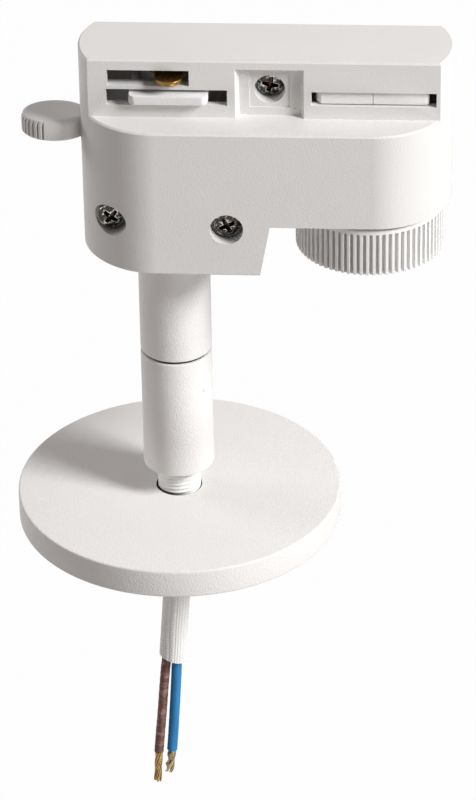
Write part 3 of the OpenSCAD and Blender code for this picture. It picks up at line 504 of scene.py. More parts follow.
def make_piece(name, points, faces, material, body, nodes, crease=38, hollow=None):
    """Mesh object from a grid: closed at poles and seams, faces outwards, smooth up to the crease angle."""
    mesh = bpy.data.meshes.new(name)
    mesh.vertices.add(len(points))
    mesh.vertices.foreach_set("co", np.ascontiguousarray(points, np.float32).ravel())
    mesh.loops.add(faces.size)
    mesh.loops.foreach_set("vertex_index", np.ascontiguousarray(faces, np.int32).ravel())
    mesh.polygons.add(len(faces))
    mesh.polygons.foreach_set("loop_start", np.arange(0, faces.size, 4, dtype=np.int32))
    mesh.update(calc_edges=True)
    if hollow is not None:
        set_hollow(mesh, hollow)
    work = bmesh.new()
    work.from_mesh(mesh)
    bmesh.ops.remove_doubles(work, verts=work.verts, dist=GRID_WELD)
    bmesh.ops.recalc_face_normals(work, faces=work.faces)
    work.to_mesh(mesh)
    work.free()
    mesh.shade_smooth()
    mesh.set_sharp_from_angle(angle=math.radians(crease))
    mesh.materials.append(material)
    return put_on_body(bpy.data.objects.new(name, mesh), body, nodes)


def soft_edged(node, name, material, body, width, crease=24, hollow=None):
    """Copy of a solid with its sharp edges rounded: triangles are merged into flats, and edges above the crease angle
    are bevelled. The hollow function takes the points and returns the hollow of each."""
    mesh = bpy.data.meshes.new(name)
    work = bmesh.new()
    work.from_mesh(frame["nodes"][node].data)
    bmesh.ops.remove_doubles(work, verts=work.verts, dist=SOLID_WELD)
    bmesh.ops.dissolve_limit(
        work, angle_limit=FLAT_ANGLE, verts=work.verts, edges=work.edges, use_dissolve_boundaries=False)
    limit = math.radians(crease)
    sharp = [e for e in work.edges if len(e.link_faces) == 2 and e.calc_face_angle(0) > limit]
    bmesh.ops.bevel(
        work, geom=sharp, offset=width, offset_type="OFFSET", segments=2, profile=0.5,
        affect="EDGES", clamp_overlap=True, miter_outer="SHARP")
    work.to_mesh(mesh)
    work.free()
    if hollow is not None:
        points = np.empty(3 * len(mesh.vertices), np.float32)
        mesh.vertices.foreach_get("co", points)
        set_hollow(mesh, hollow(points.reshape(-1, 3)))
    mesh.shade_smooth()
    mesh.set_sharp_from_angle(angle=SHARP_ANGLE)
    mesh.materials.clear()
    mesh.materials.append(material)
    piece = put_on_body(bpy.data.objects.new(name, mesh), body, [node])
    even = piece.modifiers.new("even_normals", "WEIGHTED_NORMAL")
    even.keep_sharp = True


FINISHES = {}


def finish_of(name, colours):
    """A material by its name here, made once. Most names are those of the record's slots."""
    if not FINISHES:
        along_z = (1, 1, 0.2)
        FINISHES.update({
            "white_plastic": moulded_plastic("moulded_plastic", colours.plastic),
            "lug_plastic": moulded_plastic("lug_plastic", colours.lug),
            "knob_plastic": moulded_plastic("knob_plastic", colours.knob),
            "white_paint": powder_coat(colours.paint),
            "brass": rubbed_metal("brass", colours.brass, shade(colours.brass, 0.45), 0.24, (1, 0.1, 1)),
            "dark_steel": burnished_screw(colours.screw, colours.zinc),
            "zinc_steel": rubbed_metal("zinc_plate", colours.zinc, shade(colours.zinc, 0.7), 0.3, along_z),
            "seam_fibre": seam_fibre(colours.seam),
            "white_sleeve": woven_sleeve(colours.sleeve),
            "brown_insulation": insulation("brown_insulation", colours.brown, (0.46, 0.32, 0.29), 0.9),
            "blue_insulation": insulation("blue_insulation", colours.blue, (0.06, 0.28, 0.55), 0.35),
            "copper": rubbed_metal("bare_copper", colours.copper, shade(colours.copper, 0.5), 0.26, along_z),
            "tinned_copper": rubbed_metal("tinned_copper", colours.tinned, shade(colours.tinned, 0.2), 0.2, along_z),
        })
    return FINISHES[name]


# Operators

class ADAPTER_OT_stage(bpy.types.Operator):
    """Sets the camera at the photograph's angle, soft light from the right and a pale floor"""

    bl_idname = "adapter.stage"
    bl_label = "Camera, Light and Floor"

    AZIMUTH, ELEVATION, ROLL = math.radians(3.744), math.radians(31.76), math.radians(-0.96)
    AIM = Vector((-7.39, 0.0, -92.6)) * MM
    DISTANCE = 0.9784
    LENS, SENSOR, CLIP = 190.34, 36, (0.05, 20)
    KEY_FROM, FILL_FROM = Vector((0.79, -0.36, 0.66)), Vector((-0.9, 0.35, 0.25))
    FRONT_FROM = Vector((0.5, -0.65, -0.6))
    LAMP_AWAY, LAMP_SIZE = 1.3, 0.42
    AMBIENT_TINT = (1.0, 0.9, 0.85)
    FLOOR_HALF, FLOOR_TINT, FLOOR_GLOW = 6.0, (0.86, 0.86, 0.86), 0.985

    def camera(self, scene):
        """Camera that looks along the fitted view: back, right and up vectors, turned by the roll."""
        a, e, r = self.AZIMUTH, self.ELEVATION, self.ROLL
        back = Vector((math.sin(a) * math.cos(e), -math.cos(a) * math.cos(e), math.sin(e)))
        right = Vector((math.cos(a), math.sin(a), 0))
        up = back.cross(right)
        right, up = right * math.cos(r) + up * math.sin(r), up * math.cos(r) - right * math.sin(r)
        data = bpy.data.cameras.new("photo_camera")
        data.lens = self.LENS
        data.sensor_width = self.SENSOR
        data.clip_start, data.clip_end = self.CLIP
        camera = bpy.data.objects.new("photo_camera", data)
        turn = Matrix((right, up, back)).transposed()
        camera.matrix_world = Matrix.Translation(self.AIM + back * self.DISTANCE) @ turn.to_4x4()
        scene.collection.objects.link(camera)
        scene.camera = camera

    def lamp(self, scene, name, source, power):
        """Soft round lamp that shines from a direction at the object."""
        light = bpy.data.lights.new(name, "AREA")
        light.energy = power
        light.shape, light.size = "DISK", self.LAMP_SIZE
        lamp = bpy.data.objects.new(name, light)
        toward = source.normalized()
        turn = toward.to_track_quat("Z", "Y").to_matrix().to_4x4()
        lamp.matrix_world = Matrix.Translation(self.AIM + toward * self.LAMP_AWAY) @ turn
        scene.collection.objects.link(lamp)

    def white_rays(self, f):
        """1 for rays that see the background: from the camera, in gloss or through glass."""
        direct = f.node("ShaderNodeLightPath", output="Is Camera Ray")
        gloss = f.node("ShaderNodeLightPath", output="Is Glossy Ray")
        glass = f.node("ShaderNodeLightPath", output="Is Transmission Ray")
        return f.clamp(direct + gloss + glass)

    def execute(self, context):
        scene = context.scene
        settings = scene.track_adapter.stage
        scene.view_settings.view_transform = "Standard"
        self.camera(scene)

        self.lamp(scene, "key_light", self.KEY_FROM, settings.key)
        self.lamp(scene, "fill_light", self.FILL_FROM, settings.fill)
        self.lamp(scene, "front_light", self.FRONT_FROM, settings.front)

        world = bpy.data.worlds.new("studio")
        world.use_nodes = True
        f = Finish(world.node_tree)
        white = self.white_rays(f)
        tint = f.mix(white, self.AMBIENT_TINT, (1, 1, 1))
        strength = settings.ambient + white * (1 - settings.ambient)
        sky = f.node("ShaderNodeBackground", None, {"Color": tint, "Strength": strength})
        f.node("ShaderNodeOutputWorld", None, {"Surface": sky})
        scene.world = world

        half = self.FLOOR_HALF
        level = CAD_BOX[0][2] - settings.floor_drop
        mesh = bpy.data.meshes.new("floor")
        mesh.from_pydata([(-half, -half, level), (half, -half, level), (half, half, level), (-half, half, level)],
                         [], [(0, 1, 2, 3)])
        material, f = new_finish("pale_floor")
        matt = f.node("ShaderNodeBsdfDiffuse", None, {"Color": rgba(self.FLOOR_TINT)})
        glow = f.node("ShaderNodeEmission", None, {"Color": (1, 1, 1, 1), "Strength": 1.0})
        both = f.node("ShaderNodeMixShader", None, {0: self.FLOOR_GLOW * self.white_rays(f), 1: matt, 2: glow})
        f.node("ShaderNodeOutputMaterial", None, {"Surface": both})
        mesh.materials.append(material)
        floor = bpy.data.objects.new("floor", mesh)
        scene.collection.objects.link(floor)
        return {"FINISHED"}


class ADAPTER_OT_cord(bpy.types.Operator):
    """Hangs the woven sleeve with its two wires and their bare ends"""

    bl_idname = "adapter.cord"
    bl_label = "Sleeve and Wires"

    # Routes in millimetres, from the top down
    MOUTH = (-21.4, 0.0, -127.9)
    SLEEVE = [(-21.4, 0, -118), (-21.4, 0, -124), (-21.7, 0, -130), (-22.1, 0, -137), (-22.6, 0, -144),
              (-23.1, 0, -151), (-23.6, 0, -158), (-24.1, 0, -165.4)]
    BROWN = [(-24.95, 0, -157.5), (-25.2, 0, -161.5), (-25.65, 0, -166.2), (-26.1, 0, -170), (-26.6, 0, -176),
             (-27.1, 0, -182), (-27.65, 0, -188), (-28.15, 0, -193.8)]
    BLUE = [(-22.45, 0, -157.5), (-22.7, 0, -161.5), (-23.1, 0, -166.2), (-23.35, 0, -170), (-23.7, 0, -176),
            (-24.1, 0, -182), (-24.5, 0, -188), (-24.9, 0, -193)]
    BROWN_END = [(-28.05, 0, -192.6), (-28.17, 0, -194.2), (-28.4, 0, -197), (-28.55, 0, -200), (-28.6, 0, -202.8)]
    BLUE_END = [(-24.8, 0, -191.7), (-24.92, 0, -193.3), (-25.2, 0, -196), (-25.55, 0, -198), (-25.8, 0, -199.8)]
    SLEEVE_R, SLEEVE_BORE, SLANT = 3.28 * MM, 2.62 * MM, 0.85 * MM
    SLANT_LEN, SLANT_WAY = 14 * MM, 0.35
    STITCH, YARN_DEEP, BORE_SHADE, YARN_POINTS = 0.85 * MM, 0.13 * MM, 0.7, 7
    OVAL, OVAL_TURN, FULL, FULL_TO, SLIM_FROM = 0.04 * MM, 9 * MM, 0.12 * MM, 8 * MM, 40 * MM
    BROWN_R, BLUE_R, STRAND_R = 1.16 * MM, 1.26 * MM, 0.17 * MM
    SHORTEST, WAVER, FLARE, GOLDEN, OWN_TWIST = 0.93, 0.07 * MM, 0.15, 2.4, 1.7

    def sleeve(self, shape, material):
        """Woven tube: its radius is lower between yarns, which wander and crowd, and between stitches. It is a little
        oval and fuller at the top, its lower end is cut aslant, and its bore is plain."""
        rows, inner, sides = 330, 26, shape.yarns * self.YARN_POINTS
        path = smooth_path(self.SLEEVE, rows)
        tangent, side, over = path_frames(path)
        angle = turn_angles(sides).T
        along = np.concatenate([[0], np.cumsum(np.linalg.norm(np.diff(path, axis=0), axis=1))])[:, None]
        wander = 0.5 * np.sin(along / (7.0 * MM)) + 0.3 * np.sin(along / (2.3 * MM) + 1)
        crowd = 0.45 * np.sin(3 * angle + 1) + 0.25 * np.sin(7 * angle)
        row = shape.yarns * angle / TURN + 0.12 * wander + crowd
        rib = np.abs(np.cos(math.pi * row)) ** 0.8
        stitch = np.abs(np.cos(math.pi * (along / self.STITCH + 0.5 * np.floor(row + 0.5)))) ** 0.7
        yarn = rib * (0.4 + 0.6 * stitch)
        oval = self.OVAL * np.cos(2 * angle + along / self.OVAL_TURN)
        full = self.FULL * (1 - ramp(along, self.FULL_TO, self.SLIM_FROM))
        radius = self.SLEEVE_R - self.YARN_DEEP * (1 - yarn) + (oval + full)
        weight = ramp(along, along[-1, 0] - self.SLANT_LEN, along[-1, 0])
        shift = -self.SLANT * np.cos(angle + self.SLANT_WAY) * weight
        rim = rims(side, over, sides)
        outer = path[:, None] + radius[..., None] * rim + shift[..., None] * tangent[:, None]
        back = np.linspace(rows - 1, 0, inner).astype(int)
        bore = path[back, None] + self.SLEEVE_BORE * rim[back] + shift[back][..., None] * tangent[back, None]
        points = np.concatenate([outer, bore]).reshape(-1, 3)
        # Painted shade: in the gaps between yarns, and in the bore by its shade
        hollow = np.concatenate([1 - yarn, np.full((inner, sides), self.BORE_SHADE)])
        piece = make_piece("woven_sleeve", points, skin(rows + inner, sides, True, True), material,
                           "housing", ["cord_sleeve"], crease=70, hollow=hollow)
        return piece, path

    def wire(self, name, route, radius, dents, material, slot, node):
        """Insulated wire: a round rod with shallow dents, the size of two crossed waves that wander round it."""
        rows, sides = 110, 28
        path = smooth_path(route, rows)
        angle = turn_angles(sides).T
        along = np.linspace(0, 1, rows)[:, None]
        wave = np.sin(46 * along + 2 * np.cos(9 * along)) * np.cos(angle + 5 * along)
        wave = wave + 0.6 * np.sin(83 * along + 1.3) * np.cos(2 * angle - 7 * along)
        body = radius * (1 - dents * np.abs(wave))
        points, faces = tube(path, body, sides)
        piece = make_piece(name, points, faces, material, "housing", [node])
        return piece, path

    def bare_end(self, name, route, count, clumps, spread, twist, seed, material, node):
        """Bundle of fine rods in clumps. Each clump circles the bundle's line with the twist. Its rods lie in it at
        the golden angle, circle it more tightly, waver a little and end at their own places."""
        draw = np.random.default_rng(seed)
        rows, sides = 44, 8
        path = smooth_path(route, rows)
        _, side, over = path_frames(path)
        k = np.arange(count)
        clump, place = k % clumps, k // clumps
        each = math.ceil(count / clumps)
        out = spread[1] * np.sqrt((place + 0.5) / each)
        reach = draw.uniform(self.SHORTEST, 1.0, count)
        waver = draw.uniform(-1, 1, (count, 2)) * self.WAVER
        t = np.linspace(0, 1, rows)[None, :] * reach[:, None]
        wide = 1 + self.FLARE * t ** 3
        whole = clump[:, None] * TURN / clumps + twist * TURN * t
        own = place[:, None] * self.GOLDEN + self.OWN_TWIST * twist * TURN * t
        sway_x = waver[:, :1] * np.sin(5 * t + k[:, None])
        sway_y = waver[:, 1:] * np.cos(6 * t + 2 * k[:, None])
        x = wide * (spread[0] * np.cos(whole) + out[:, None] * np.cos(own)) + sway_x
        y = wide * (spread[0] * np.sin(whole) + out[:, None] * np.sin(own)) + sway_y
        at = t * (rows - 1)
        i = np.minimum(at.astype(int), rows - 2)
        u = (at - i)[..., None]
        centre = path[i] * (1 - u) + path[i + 1] * u
        line = centre + x[..., None] * side[i] + y[..., None] * over[i]
        rings = line[:, :, None] + self.STRAND_R * rims(side[i], over[i], sides)
        first, last = np.repeat(line[:, :1, None], sides, 2), np.repeat(line[:, -1:, None], sides, 2)
        points = np.concatenate([first, rings, last], 1).reshape(-1, 3)
        faces = (skin(rows + 2, sides)[None] + (k * (rows + 2) * sides)[:, None, None]).reshape(-1, 4)
        return make_piece(name, points, faces, material, "housing", [node], crease=60)

    def execute(self, context):
        settings = context.scene.track_adapter
        shape, colours = settings.shape, settings.colours
        sleeve, path = self.sleeve(shape, finish_of("white_sleeve", colours))
        brown_end = self.bare_end(
            "brown_bare_end", self.BROWN_END, shape.strands, clumps=1, spread=(0, 0.8 * MM), twist=0.3, seed=11,
            material=finish_of("copper", colours), node="brown_strands")
        blue_end = self.bare_end(
            "blue_bare_end", self.BLUE_END, shape.strands, clumps=4, spread=(0.6 * MM, 0.32 * MM), twist=0.7, seed=5,
            material=finish_of("tinned_copper", colours), node="blue_strands")
        brown, path = self.wire("brown_insulated_wire", self.BROWN, self.BROWN_R, 0.045,
                                finish_of("brown_insulation", colours), "brown_insulation", "brown_wire")
        blue, path = self.wire("blue_insulated_wire", self.BLUE, self.BLUE_R, 0.02,
                               finish_of("blue_insulation", colours), "blue_insulation", "blue_wire")
        return {"FINISHED"}


class ADAPTER_OT_housing(bpy.types.Operator):
    """Rounds the moulded edges of the two shells, the lever, the rotors and the cap, and paints shade in their
    hollows
    """

    bl_idname = "adapter.housing"
    bl_label = "Moulded Housing"

    PIECES = [
        ("front_shell", "front_housing", "housing", 1.0, "white_plastic"),
        ("rear_shell", "rear_housing", "housing", 1.0, "white_plastic"),
        ("contact_rotor", "locking_rotor_left", "lever", 0.9, "lug_plastic"),
        ("lock_lever", "ribbed_lever", "lever", 0.5, "white_plastic"),
        ("lock_rotor", "locking_rotor_right", "knob", 0.9, "knob_plastic"),
        ("knob_cap", "cap_under_knob", "knob", 0.8, "white_plastic"),
    ]
    GRIP_LEN, GRIP_W, GRIP_ROUND = 15.0 * MM, 11.6 * MM, 1.3 * MM
    HEAD_W, BODY_LEN, BODY_W, HEAD_H = 18.8 * MM, 82.8 * MM, 35.0 * MM, 13.9 * MM
    POCKET_X, POCKET_HALF = 1.2 * MM, 9.5 * MM
    # Painted shade inside the head: depths over which it grows behind the faces, and its levels below the top and
    # above the ledge
    DUSK_FROM, DUSK_FULL, BELOW_TOP, ABOVE_LEDGE = 1.0 * MM, 3.2 * MM, 1.5 * MM, 0.3 * MM
    # Painted shade in the screw holes: each hole's share at its seat, its reach round the hole, its share at the
    # mouth
    BORES, BORE_R, BORE_MOUTH = [("corner_screw", 0.9), ("inner_screw", 0.75)], 4.2 * MM, 0.3
    # Depths below the surface over which the holes' painted shade grows
    MOUTH_FROM, MOUTH_FULL, BORE_FULL = 0.05 * MM, 0.2 * MM, 3.5 * MM

    def grip_hollow(self, points):
        """Painted shade, 1 in the grooves of the lever's tip: points of its side that lie inside the grip's oval."""
        low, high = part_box("lock_lever")
        x = (points[:, 0] - low.x) / (self.GRIP_LEN / 2) - 1
        y = points[:, 1] / (self.GRIP_W / 2)
        on_side = (points[:, 2] > low.z + 0.2 * MM) & (points[:, 2] < high.z - 0.8 * self.GRIP_ROUND)
        return ramp(1 - np.hypot(x, y), 0.01, 0.045) * on_side * (x < 0)

    def head_hollow(self, points):
        """Painted shade in the head: rises with the depth behind its faces and round ends, and spares the screw
        pocket.
        In the screw holes it rises with the depth below the surface, quickly inside their edge and then slowly."""
        x, y, z = points.T
        end = np.maximum(np.abs(x) - (self.BODY_LEN - self.BODY_W) / 2, 0)
        under = self.BODY_W / 2 - np.hypot(end, y)
        deep = np.minimum(self.HEAD_W / 2 - np.abs(y), under)
        level = (z < -self.BELOW_TOP) & (z > self.ABOVE_LEDGE - self.HEAD_H)
        beside = np.abs(x - self.POCKET_X) > self.POCKET_HALF
        dusk = ramp(deep, self.DUSK_FROM, self.DUSK_FULL) * level * beside
        for node, share in self.BORES:
            low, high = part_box(node)
            near = np.hypot(x - (low.x + high.x) / 2, z - (low.z + high.z) / 2) < self.BORE_R
            mouth = self.BORE_MOUTH * ramp(under, self.MOUTH_FROM, self.MOUTH_FULL)
            wall = (share - self.BORE_MOUTH) * ramp(under, self.MOUTH_FULL, self.BORE_FULL)
            dusk = np.maximum(dusk, near * (mouth + wall))
        return dusk

    def execute(self, context):
        settings = context.scene.track_adapter
        for node, name, body, share, finish in self.PIECES:
            hollow = self.grip_hollow if node == "lock_lever" else self.head_hollow
            soft_edged(node, name, finish_of(finish, settings.colours), body,
                       settings.shape.edge * share, hollow=hollow)
        return {"FINISHED"}


class ADAPTER_OT_contacts(bpy.types.Operator):
    """Rounds the edges of the two brass contact blades"""

    bl_idname = "adapter.contacts"
    bl_label = "Brass Contacts"

    PIECES = [("line_contact", "line_blade", "lever"), ("neutral_contact", "neutral_blade", "knob")]

    def execute(self, context):
        settings = context.scene.track_adapter
        material = finish_of("brass", settings.colours)
        for node, name, body in self.PIECES:
            soft_edged(node, name, material, body, settings.shape.edge * 0.6)
        return {"FINISHED"}


class ADAPTER_OT_screws(bpy.types.Operator):
    """Turns the three cross-head screws in the front"""

    bl_idname = "adapter.screws"
    bl_label = "Cross-head Screws"

    PIECES = [("head_screw", "cross_screw_head", 12), ("corner_screw", "cross_screw_corner", 38),
              ("inner_screw", "cross_screw_inner", 64)]
    HEAD_R, HEAD_H, SHANK_R = 2.95 * MM, 2.0 * MM, 1.45 * MM
    WING, WING_REACH, DEEP, WALL = 0.52 * MM, 1.85 * MM, 1.3 * MM, 0.3 * MM
    # Wear and painted highlights along the cross's edges and round the shoulder: their places, widths and the
    # shoulder's strength
    RUB_AT, RUB_W, SIDE_RUB_AT, SIDE_RUB_W, SIDE_RUB = 0.06 * MM, 0.1 * MM, 0.95, 0.05, 0.8
    PITCH, CUT, TIP, TIP_R = 1.1 * MM, 0.3 * MM, 1.2 * MM, 0.25 * MM
    CROWN, DOME, SHOULDER, TURNS = 0.93, 0.62 * MM, 0.42 * MM, 144

    def cross(self, x, y):
        """How far a point lies inside the recess, two crossed wings that narrow outwards: below 0 is outside."""
        def wing(a, b):
            wide = self.WING * (1.15 - 0.4 * np.abs(b) / self.WING_REACH) - np.abs(a)
            return np.minimum(wide, 0.6 * (self.WING_REACH - np.abs(b)))
        return np.maximum(wing(x, y), wing(y, x))

    def screw(self, node, name, tilt, material):
        """Pan head with a cross, over a threaded shank: rings from the crown's middle out, down and to the tip."""
        low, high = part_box(node)
        x0, z0 = (low.x + high.x) / 2, (low.z + high.z) / 2
        seat, length = low.y + self.HEAD_H, high.y - low.y - self.HEAD_H
        crown = np.linspace(0, self.CROWN, 52)
        dome = self.HEAD_H - self.DOME * crown ** 2.4
        shoulder = np.linspace(0, math.pi / 2, 9)[1:]
        edge_r = self.CROWN + (1 - self.CROWN) * np.sin(shoulder)
        edge_h = dome[-1] - self.SHOULDER * (1 - np.cos(shoulder))
        shank = np.linspace(-0.05 * MM, self.TIP - length, 90)
        radius = np.concatenate([self.HEAD_R * np.concatenate([crown, edge_r, [1.0, 0.98]]),
                                 np.full(len(shank), self.SHANK_R), [self.TIP_R, 0]])
        height = np.concatenate([dome, edge_h, [0.05 * MM, 0], shank, [-length, -length]])
        angle = turn_angles(self.TURNS)
        thread = np.abs(2 * ((height[None] / self.PITCH + angle / TURN) % 1) - 1)
        on_shank = (radius[None] == self.SHANK_R) * ramp(-height[None], 1.0 * MM, 2.0 * MM)
        across = radius[None] - self.CUT * ramp(thread, 0.2, 0.8) * on_shank
        turn = angle + math.radians(tilt)
        u, v = across * np.cos(turn), across * np.sin(turn)
        on_crown = np.arange(len(radius))[None] < len(crown)
        inside = np.where(on_crown, self.cross(u, v), -1)
        axial = height[None] - self.DEEP * np.clip(inside / self.WALL, 0, 1)
        # Wear and painted highlight round the shoulder of the head
        side_rub = np.exp(-((across / self.HEAD_R - self.SIDE_RUB_AT) / self.SIDE_RUB_W) ** 2)
        side_rub = side_rub * (height[None] > 0.5 * MM)
        # Wear and painted highlight along the edges of the cross
        edge_rub = np.exp(-((inside + self.RUB_AT) / self.RUB_W) ** 2)
        rubbed = np.maximum(edge_rub, self.SIDE_RUB * side_rub)
        # Hollow: painted shade in the recess, less the wear and painted highlights
        hollow = ramp(inside, 0.05 * MM, 0.25 * MM) - rubbed
        points = np.stack([x0 + across * np.cos(angle), seat - axial, z0 + across * np.sin(angle)], -1)
        faces = skin(len(angle), len(radius), True, False)
        make_piece(name, points.reshape(-1, 3), faces, material, "housing", [node], crease=32,
                   hollow=hollow)

    def execute(self, context):
        material = finish_of("dark_steel", context.scene.track_adapter.colours)
        for node, name, tilt in self.PIECES:
            self.screw(node, name, tilt, material)
        return {"FINISHED"}


class ADAPTER_OT_knob(bpy.types.Operator):
    """Turns the ribbed knob under the housing"""

    bl_idname = "adapter.knob"
    bl_label = "Ribbed Knob"

    SKIRT, FLOOR, BOSS_R, HOLE_R, CAP_DEEP = 2.4 * MM, 2.2 * MM, 7.0 * MM, 4.55 * MM, 1.0 * MM
    RIM, RISE, LEDGE = 0.95 * MM, 0.55 * MM, 0.15 * MM
    WAVE, FOOT, SHADE, RIB_POINTS = (-0.55, 0.35), 0.45, 0.45, 10

    def execute(self, context):
        settings = context.scene.track_adapter
        shape = settings.shape
        r = (KNOB_HIGH.x - KNOB_LOW.x) / 2
        low, high = KNOB_LOW.z, KNOB_HIGH.z
        hole = self.HOLE_R - self.LEDGE
        bottom = eased([(self.HOLE_R, low), (r, low), (r, low + 2 * MM), (self.HOLE_R, low + 2 * MM)],
                       [0.1 * MM, 0.35 * MM, 0, 0])[:2 * EASE_STEPS]
        rise = high - self.RIM - self.RISE
        heights = np.concatenate([np.linspace(low + 0.8 * MM, rise, 8),
                                  np.linspace(rise, high - self.RIM + 0.1 * MM, 18)])
        wall = np.stack([np.full(len(heights), r), heights], 1)
        floor, cap, skirt = low + self.FLOOR, low + self.CAP_DEEP, r - self.SKIRT
        inside = eased([(r, high - 0.5 * MM), (r, high), (skirt, high), (skirt, floor), (self.BOSS_R, floor),
                        (self.BOSS_R, high), (hole, high), (hole, cap), (self.HOLE_R, cap),
                        (self.HOLE_R, low + 0.5 * MM)],
                       np.array([0, 0.3, 0.3, 0.4, 0.4, 0.3, 0.2, 0, 0.1, 0]) * MM)
        outline = np.concatenate([bottom, wall, inside])

        def grooves(angle, points):
            """Share of the rib depth: a flattened wave round the knob, weaker at its foot and none at its rim and
            inside its skirt."""
            groove = 1 - ramp(np.cos(shape.knob_ribs * angle), *self.WAVE)
            outer = ramp(points[:, 0], r - 1.0 * MM, r - 0.3 * MM)
            below = 1 - ramp(points[:, 1], rise, high - self.RIM)
            above = self.FOOT + (1 - self.FOOT) * ramp(points[:, 1], low + 0.2 * MM, low + 0.7 * MM)
            return groove * (outer * below * above)[None]

        turns = shape.knob_ribs * self.RIB_POINTS
        points, faces = turned(outline, KNOB_X, turns, lambda angle, at: -shape.rib_depth * grooves(angle, at))
        # Its hollow is painted shade in the grooves between the ribs
        make_piece("ribbed_knob", points, faces, finish_of("knob_plastic", settings.colours), "knob",
                   ["lock_knob"], crease=50, hollow=self.SHADE * grooves(turn_angles(turns), outline))
        return {"FINISHED"}


class ADAPTER_OT_stem(bpy.types.Operator):
    """Turns the two stems, the dark seam between them and the threaded nipple"""

    bl_idname = "adapter.stem"
    bl_label = "Stem and Nipple"

    BORE, WIDE_BORE, TOP_WALL = 5.05 * MM, 6.5 * MM, 4.0 * MM
    EDGE, SEAM_EDGE, TURNS = 0.35 * MM, 0.1 * MM, 192
    SEAM_BORE, GAP_DEEP = 5.1 * MM, 2.2 * MM
    THREAD_BORE, RELIEF_R, RELIEF_H, FREE_R, FREE_H = 3.8 * MM, 4.5 * MM, 1.0 * MM, 4.9 * MM, 5.4 * MM
    TAPER, TAPER_H, GRIME_FULL = 0.35 * MM, 0.7 * MM, 0.4 * MM
    THREAD_TURNS, THREAD_ROWS = 120, 300

    def plain_tube(self, node, name, bores, material, body, slot, edge):
        """Turned tube with eased edges; bores lists the bore's radius and height from the top down."""
        low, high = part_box(node)
        r = (high.x - low.x) / 2
        corners = [(r, low.z), (r, high.z)] + bores
        radii = [edge, edge] + [0.5 * edge] * len(bores)
        points, faces = turned(eased(corners, radii), STEM_X, self.TURNS)
        make_piece(name, points, faces, material, body, [node])

    def nipple(self, shape, material):
        """Threaded tube: its radius drops along a helix, and steps in at the relief below the disc's nut."""
        low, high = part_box("disc_nipple")
        r = (high.x - low.x) / 2
        z = np.linspace(low.z, high.z, self.THREAD_ROWS)
        free = low.z + self.FREE_H
        base = np.where(z < free, self.FREE_R, np.where(z < free + self.RELIEF_H, self.RELIEF_R, r))
        wall = np.stack([base, z], 1)
        bore = np.array([[self.THREAD_BORE, high.z], [self.THREAD_BORE, low.z]])

        def helix(angle, points):
            """Swell of the thread: minus a rounded saw of height and angle outside the relief and the bore, and minus
            a taper at the free end."""
            saw = np.abs(2 * ((points[None, :, 1] / shape.thread_pitch - angle / TURN) % 1) - 1)
            cut = 1 - ramp(saw, 0.1, 0.75)
            threaded = (points[:, 0] > self.RELIEF_R + 0.1 * MM)[None]
            near_end = 1 - ramp(points[:, 1] - low.z, 0, self.TAPER_H)
            taper = self.TAPER * near_end * (points[:, 0] > self.RELIEF_R)
            return -shape.thread_depth * cut * threaded - taper[None]

        outline = np.concatenate([wall, bore])
        points, faces = turned(outline, STEM_X, self.THREAD_TURNS, helix)
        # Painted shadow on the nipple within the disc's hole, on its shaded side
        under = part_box("canopy_disc")[1].z - outline[:, 1]
        in_gap = ramp(under, 0, self.GRIME_FULL) * (under < self.GAP_DEEP)
        grime = grime_side(self.THREAD_TURNS) * in_gap[None]
        make_piece("threaded_nipple", points, faces, material, "swivel", ["disc_nipple"], crease=60,
                   hollow=grime)

    def execute(self, context):
        settings = context.scene.track_adapter
        paint = finish_of("white_paint", settings.colours)
        upper, lower, seam = (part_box(n) for n in ("upper_stem", "lower_stem", "seam_washer"))
        self.plain_tube("upper_stem", "stem_above_seam", [(self.BORE, upper[1].z), (self.BORE, upper[0].z)],
                        paint, "housing", "white_paint", self.EDGE)
        shoulder = lower[1].z - self.TOP_WALL
        bores = [(self.BORE, lower[1].z), (self.BORE, shoulder),
                 (self.WIDE_BORE, shoulder), (self.WIDE_BORE, lower[0].z)]
        self.plain_tube("lower_stem", "stem_below_seam", bores, paint, "swivel", "white_paint", self.EDGE)
        self.plain_tube("seam_washer", "dark_seam", [(self.SEAM_BORE, seam[1].z), (self.SEAM_BORE, seam[0].z)],
                        finish_of("seam_fibre", settings.colours), "housing", "seam_fibre", self.SEAM_EDGE)
        self.nipple(settings.shape, paint)
        return {"FINISHED"}


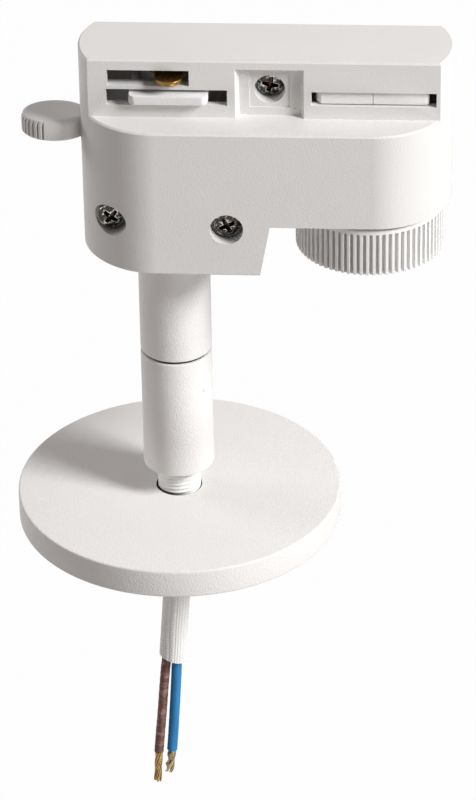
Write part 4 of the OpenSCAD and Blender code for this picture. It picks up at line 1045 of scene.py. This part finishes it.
class ADAPTER_OT_disc(bpy.types.Operator):
    """Turns the round disc with its hollow underside"""

    bl_idname = "adapter.disc"
    bl_label = "Round Disc"

    HOLE_R, SHEET, TURNS = 5.3 * MM, 2.0 * MM, 288
    LOOSE, LOOSE_WAY, GRIME_W = 0.36 * MM, math.radians(-100), 0.12 * MM

    def execute(self, context):
        low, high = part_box("canopy_disc")
        r = (high.x - low.x) / 2
        corners = [(self.HOLE_R, high.z), (r * 0.6, high.z), (r, high.z), (r, low.z), (r - self.SHEET, low.z),
                   (r - self.SHEET, high.z - self.SHEET), (self.HOLE_R, high.z - self.SHEET)]
        outline = eased(corners, np.array([0.25, 1.0, 0.55, 0.5, 0.4, 0.6, 0.2]) * MM)

        def loose(angle, at):
            """Swell that moves the hole to one side of the nipple, so its gap is wide in front and closes behind."""
            return self.LOOSE * np.cos(angle - self.LOOSE_WAY) * (at[:, 0] < 1.2 * self.HOLE_R)[None]

        points, faces = turned(outline, STEM_X, self.TURNS, loose)
        # Painted shadow on the wall of the disc's hole, on the nipple's shaded side
        grime = grime_side(self.TURNS) * (1 - ramp(outline[:, 0] - self.HOLE_R, 0, self.GRIME_W))[None]
        make_piece("round_disc", points, faces, finish_of("white_paint", context.scene.track_adapter.colours),
                   "swivel", ["canopy_disc"], hollow=grime)
        return {"FINISHED"}


class ADAPTER_OT_fittings(bpy.types.Operator):
    """Gives the washers, nuts and inner pieces that stay as solids their finishes"""

    bl_idname = "adapter.fittings"
    bl_label = "Nuts, Washers and Inner Pieces"

    def execute(self, context):
        colours = context.scene.track_adapter.colours
        slots = {s["node"]: s["material_slot"] for s in frame["record"]["subparts"]}
        for node, solid in frame["nodes"].items():
            for place in solid.material_slots:
                place.link = "OBJECT"
                place.material = finish_of(slots[node], colours)
        return {"FINISHED"}


class ADAPTER_PT_panel(bpy.types.Panel):
    """Lists the adapter's operators"""

    bl_idname = "ADAPTER_PT_panel"
    bl_label = "Track Adapter"
    bl_space_type = "VIEW_3D"
    bl_region_type = "UI"
    bl_category = "Track Adapter"

    def draw(self, context):
        for step in STEPS:
            self.layout.operator(step.bl_idname)


STEPS = (
    ADAPTER_OT_stage, ADAPTER_OT_cord, ADAPTER_OT_housing, ADAPTER_OT_contacts, ADAPTER_OT_screws,
    ADAPTER_OT_knob, ADAPTER_OT_stem, ADAPTER_OT_disc, ADAPTER_OT_fittings,
)
GROUPS = (AdapterShape, AdapterColours, AdapterStage, AdapterSettings)


def register():
    """Registers the settings, the operators and the panel."""
    for group in (*GROUPS, *STEPS, ADAPTER_PT_panel):
        bpy.utils.register_class(group)
    bpy.types.Scene.track_adapter = bpy.props.PointerProperty(type=AdapterSettings)


def unregister():
    """Takes back what register added."""
    del bpy.types.Scene.track_adapter
    for group in reversed((*GROUPS, *STEPS, ADAPTER_PT_panel)):
        bpy.utils.unregister_class(group)


def main():
    """Builds the pieces in order."""
    register()
    bpy.ops.adapter.stage()
    bpy.ops.adapter.cord()
    bpy.ops.adapter.housing()
    bpy.ops.adapter.contacts()
    bpy.ops.adapter.screws()
    bpy.ops.adapter.knob()
    bpy.ops.adapter.stem()
    bpy.ops.adapter.disc()
    bpy.ops.adapter.fittings()
    bpy.context.view_layer.update()


if __name__ == "__main__":
    main()
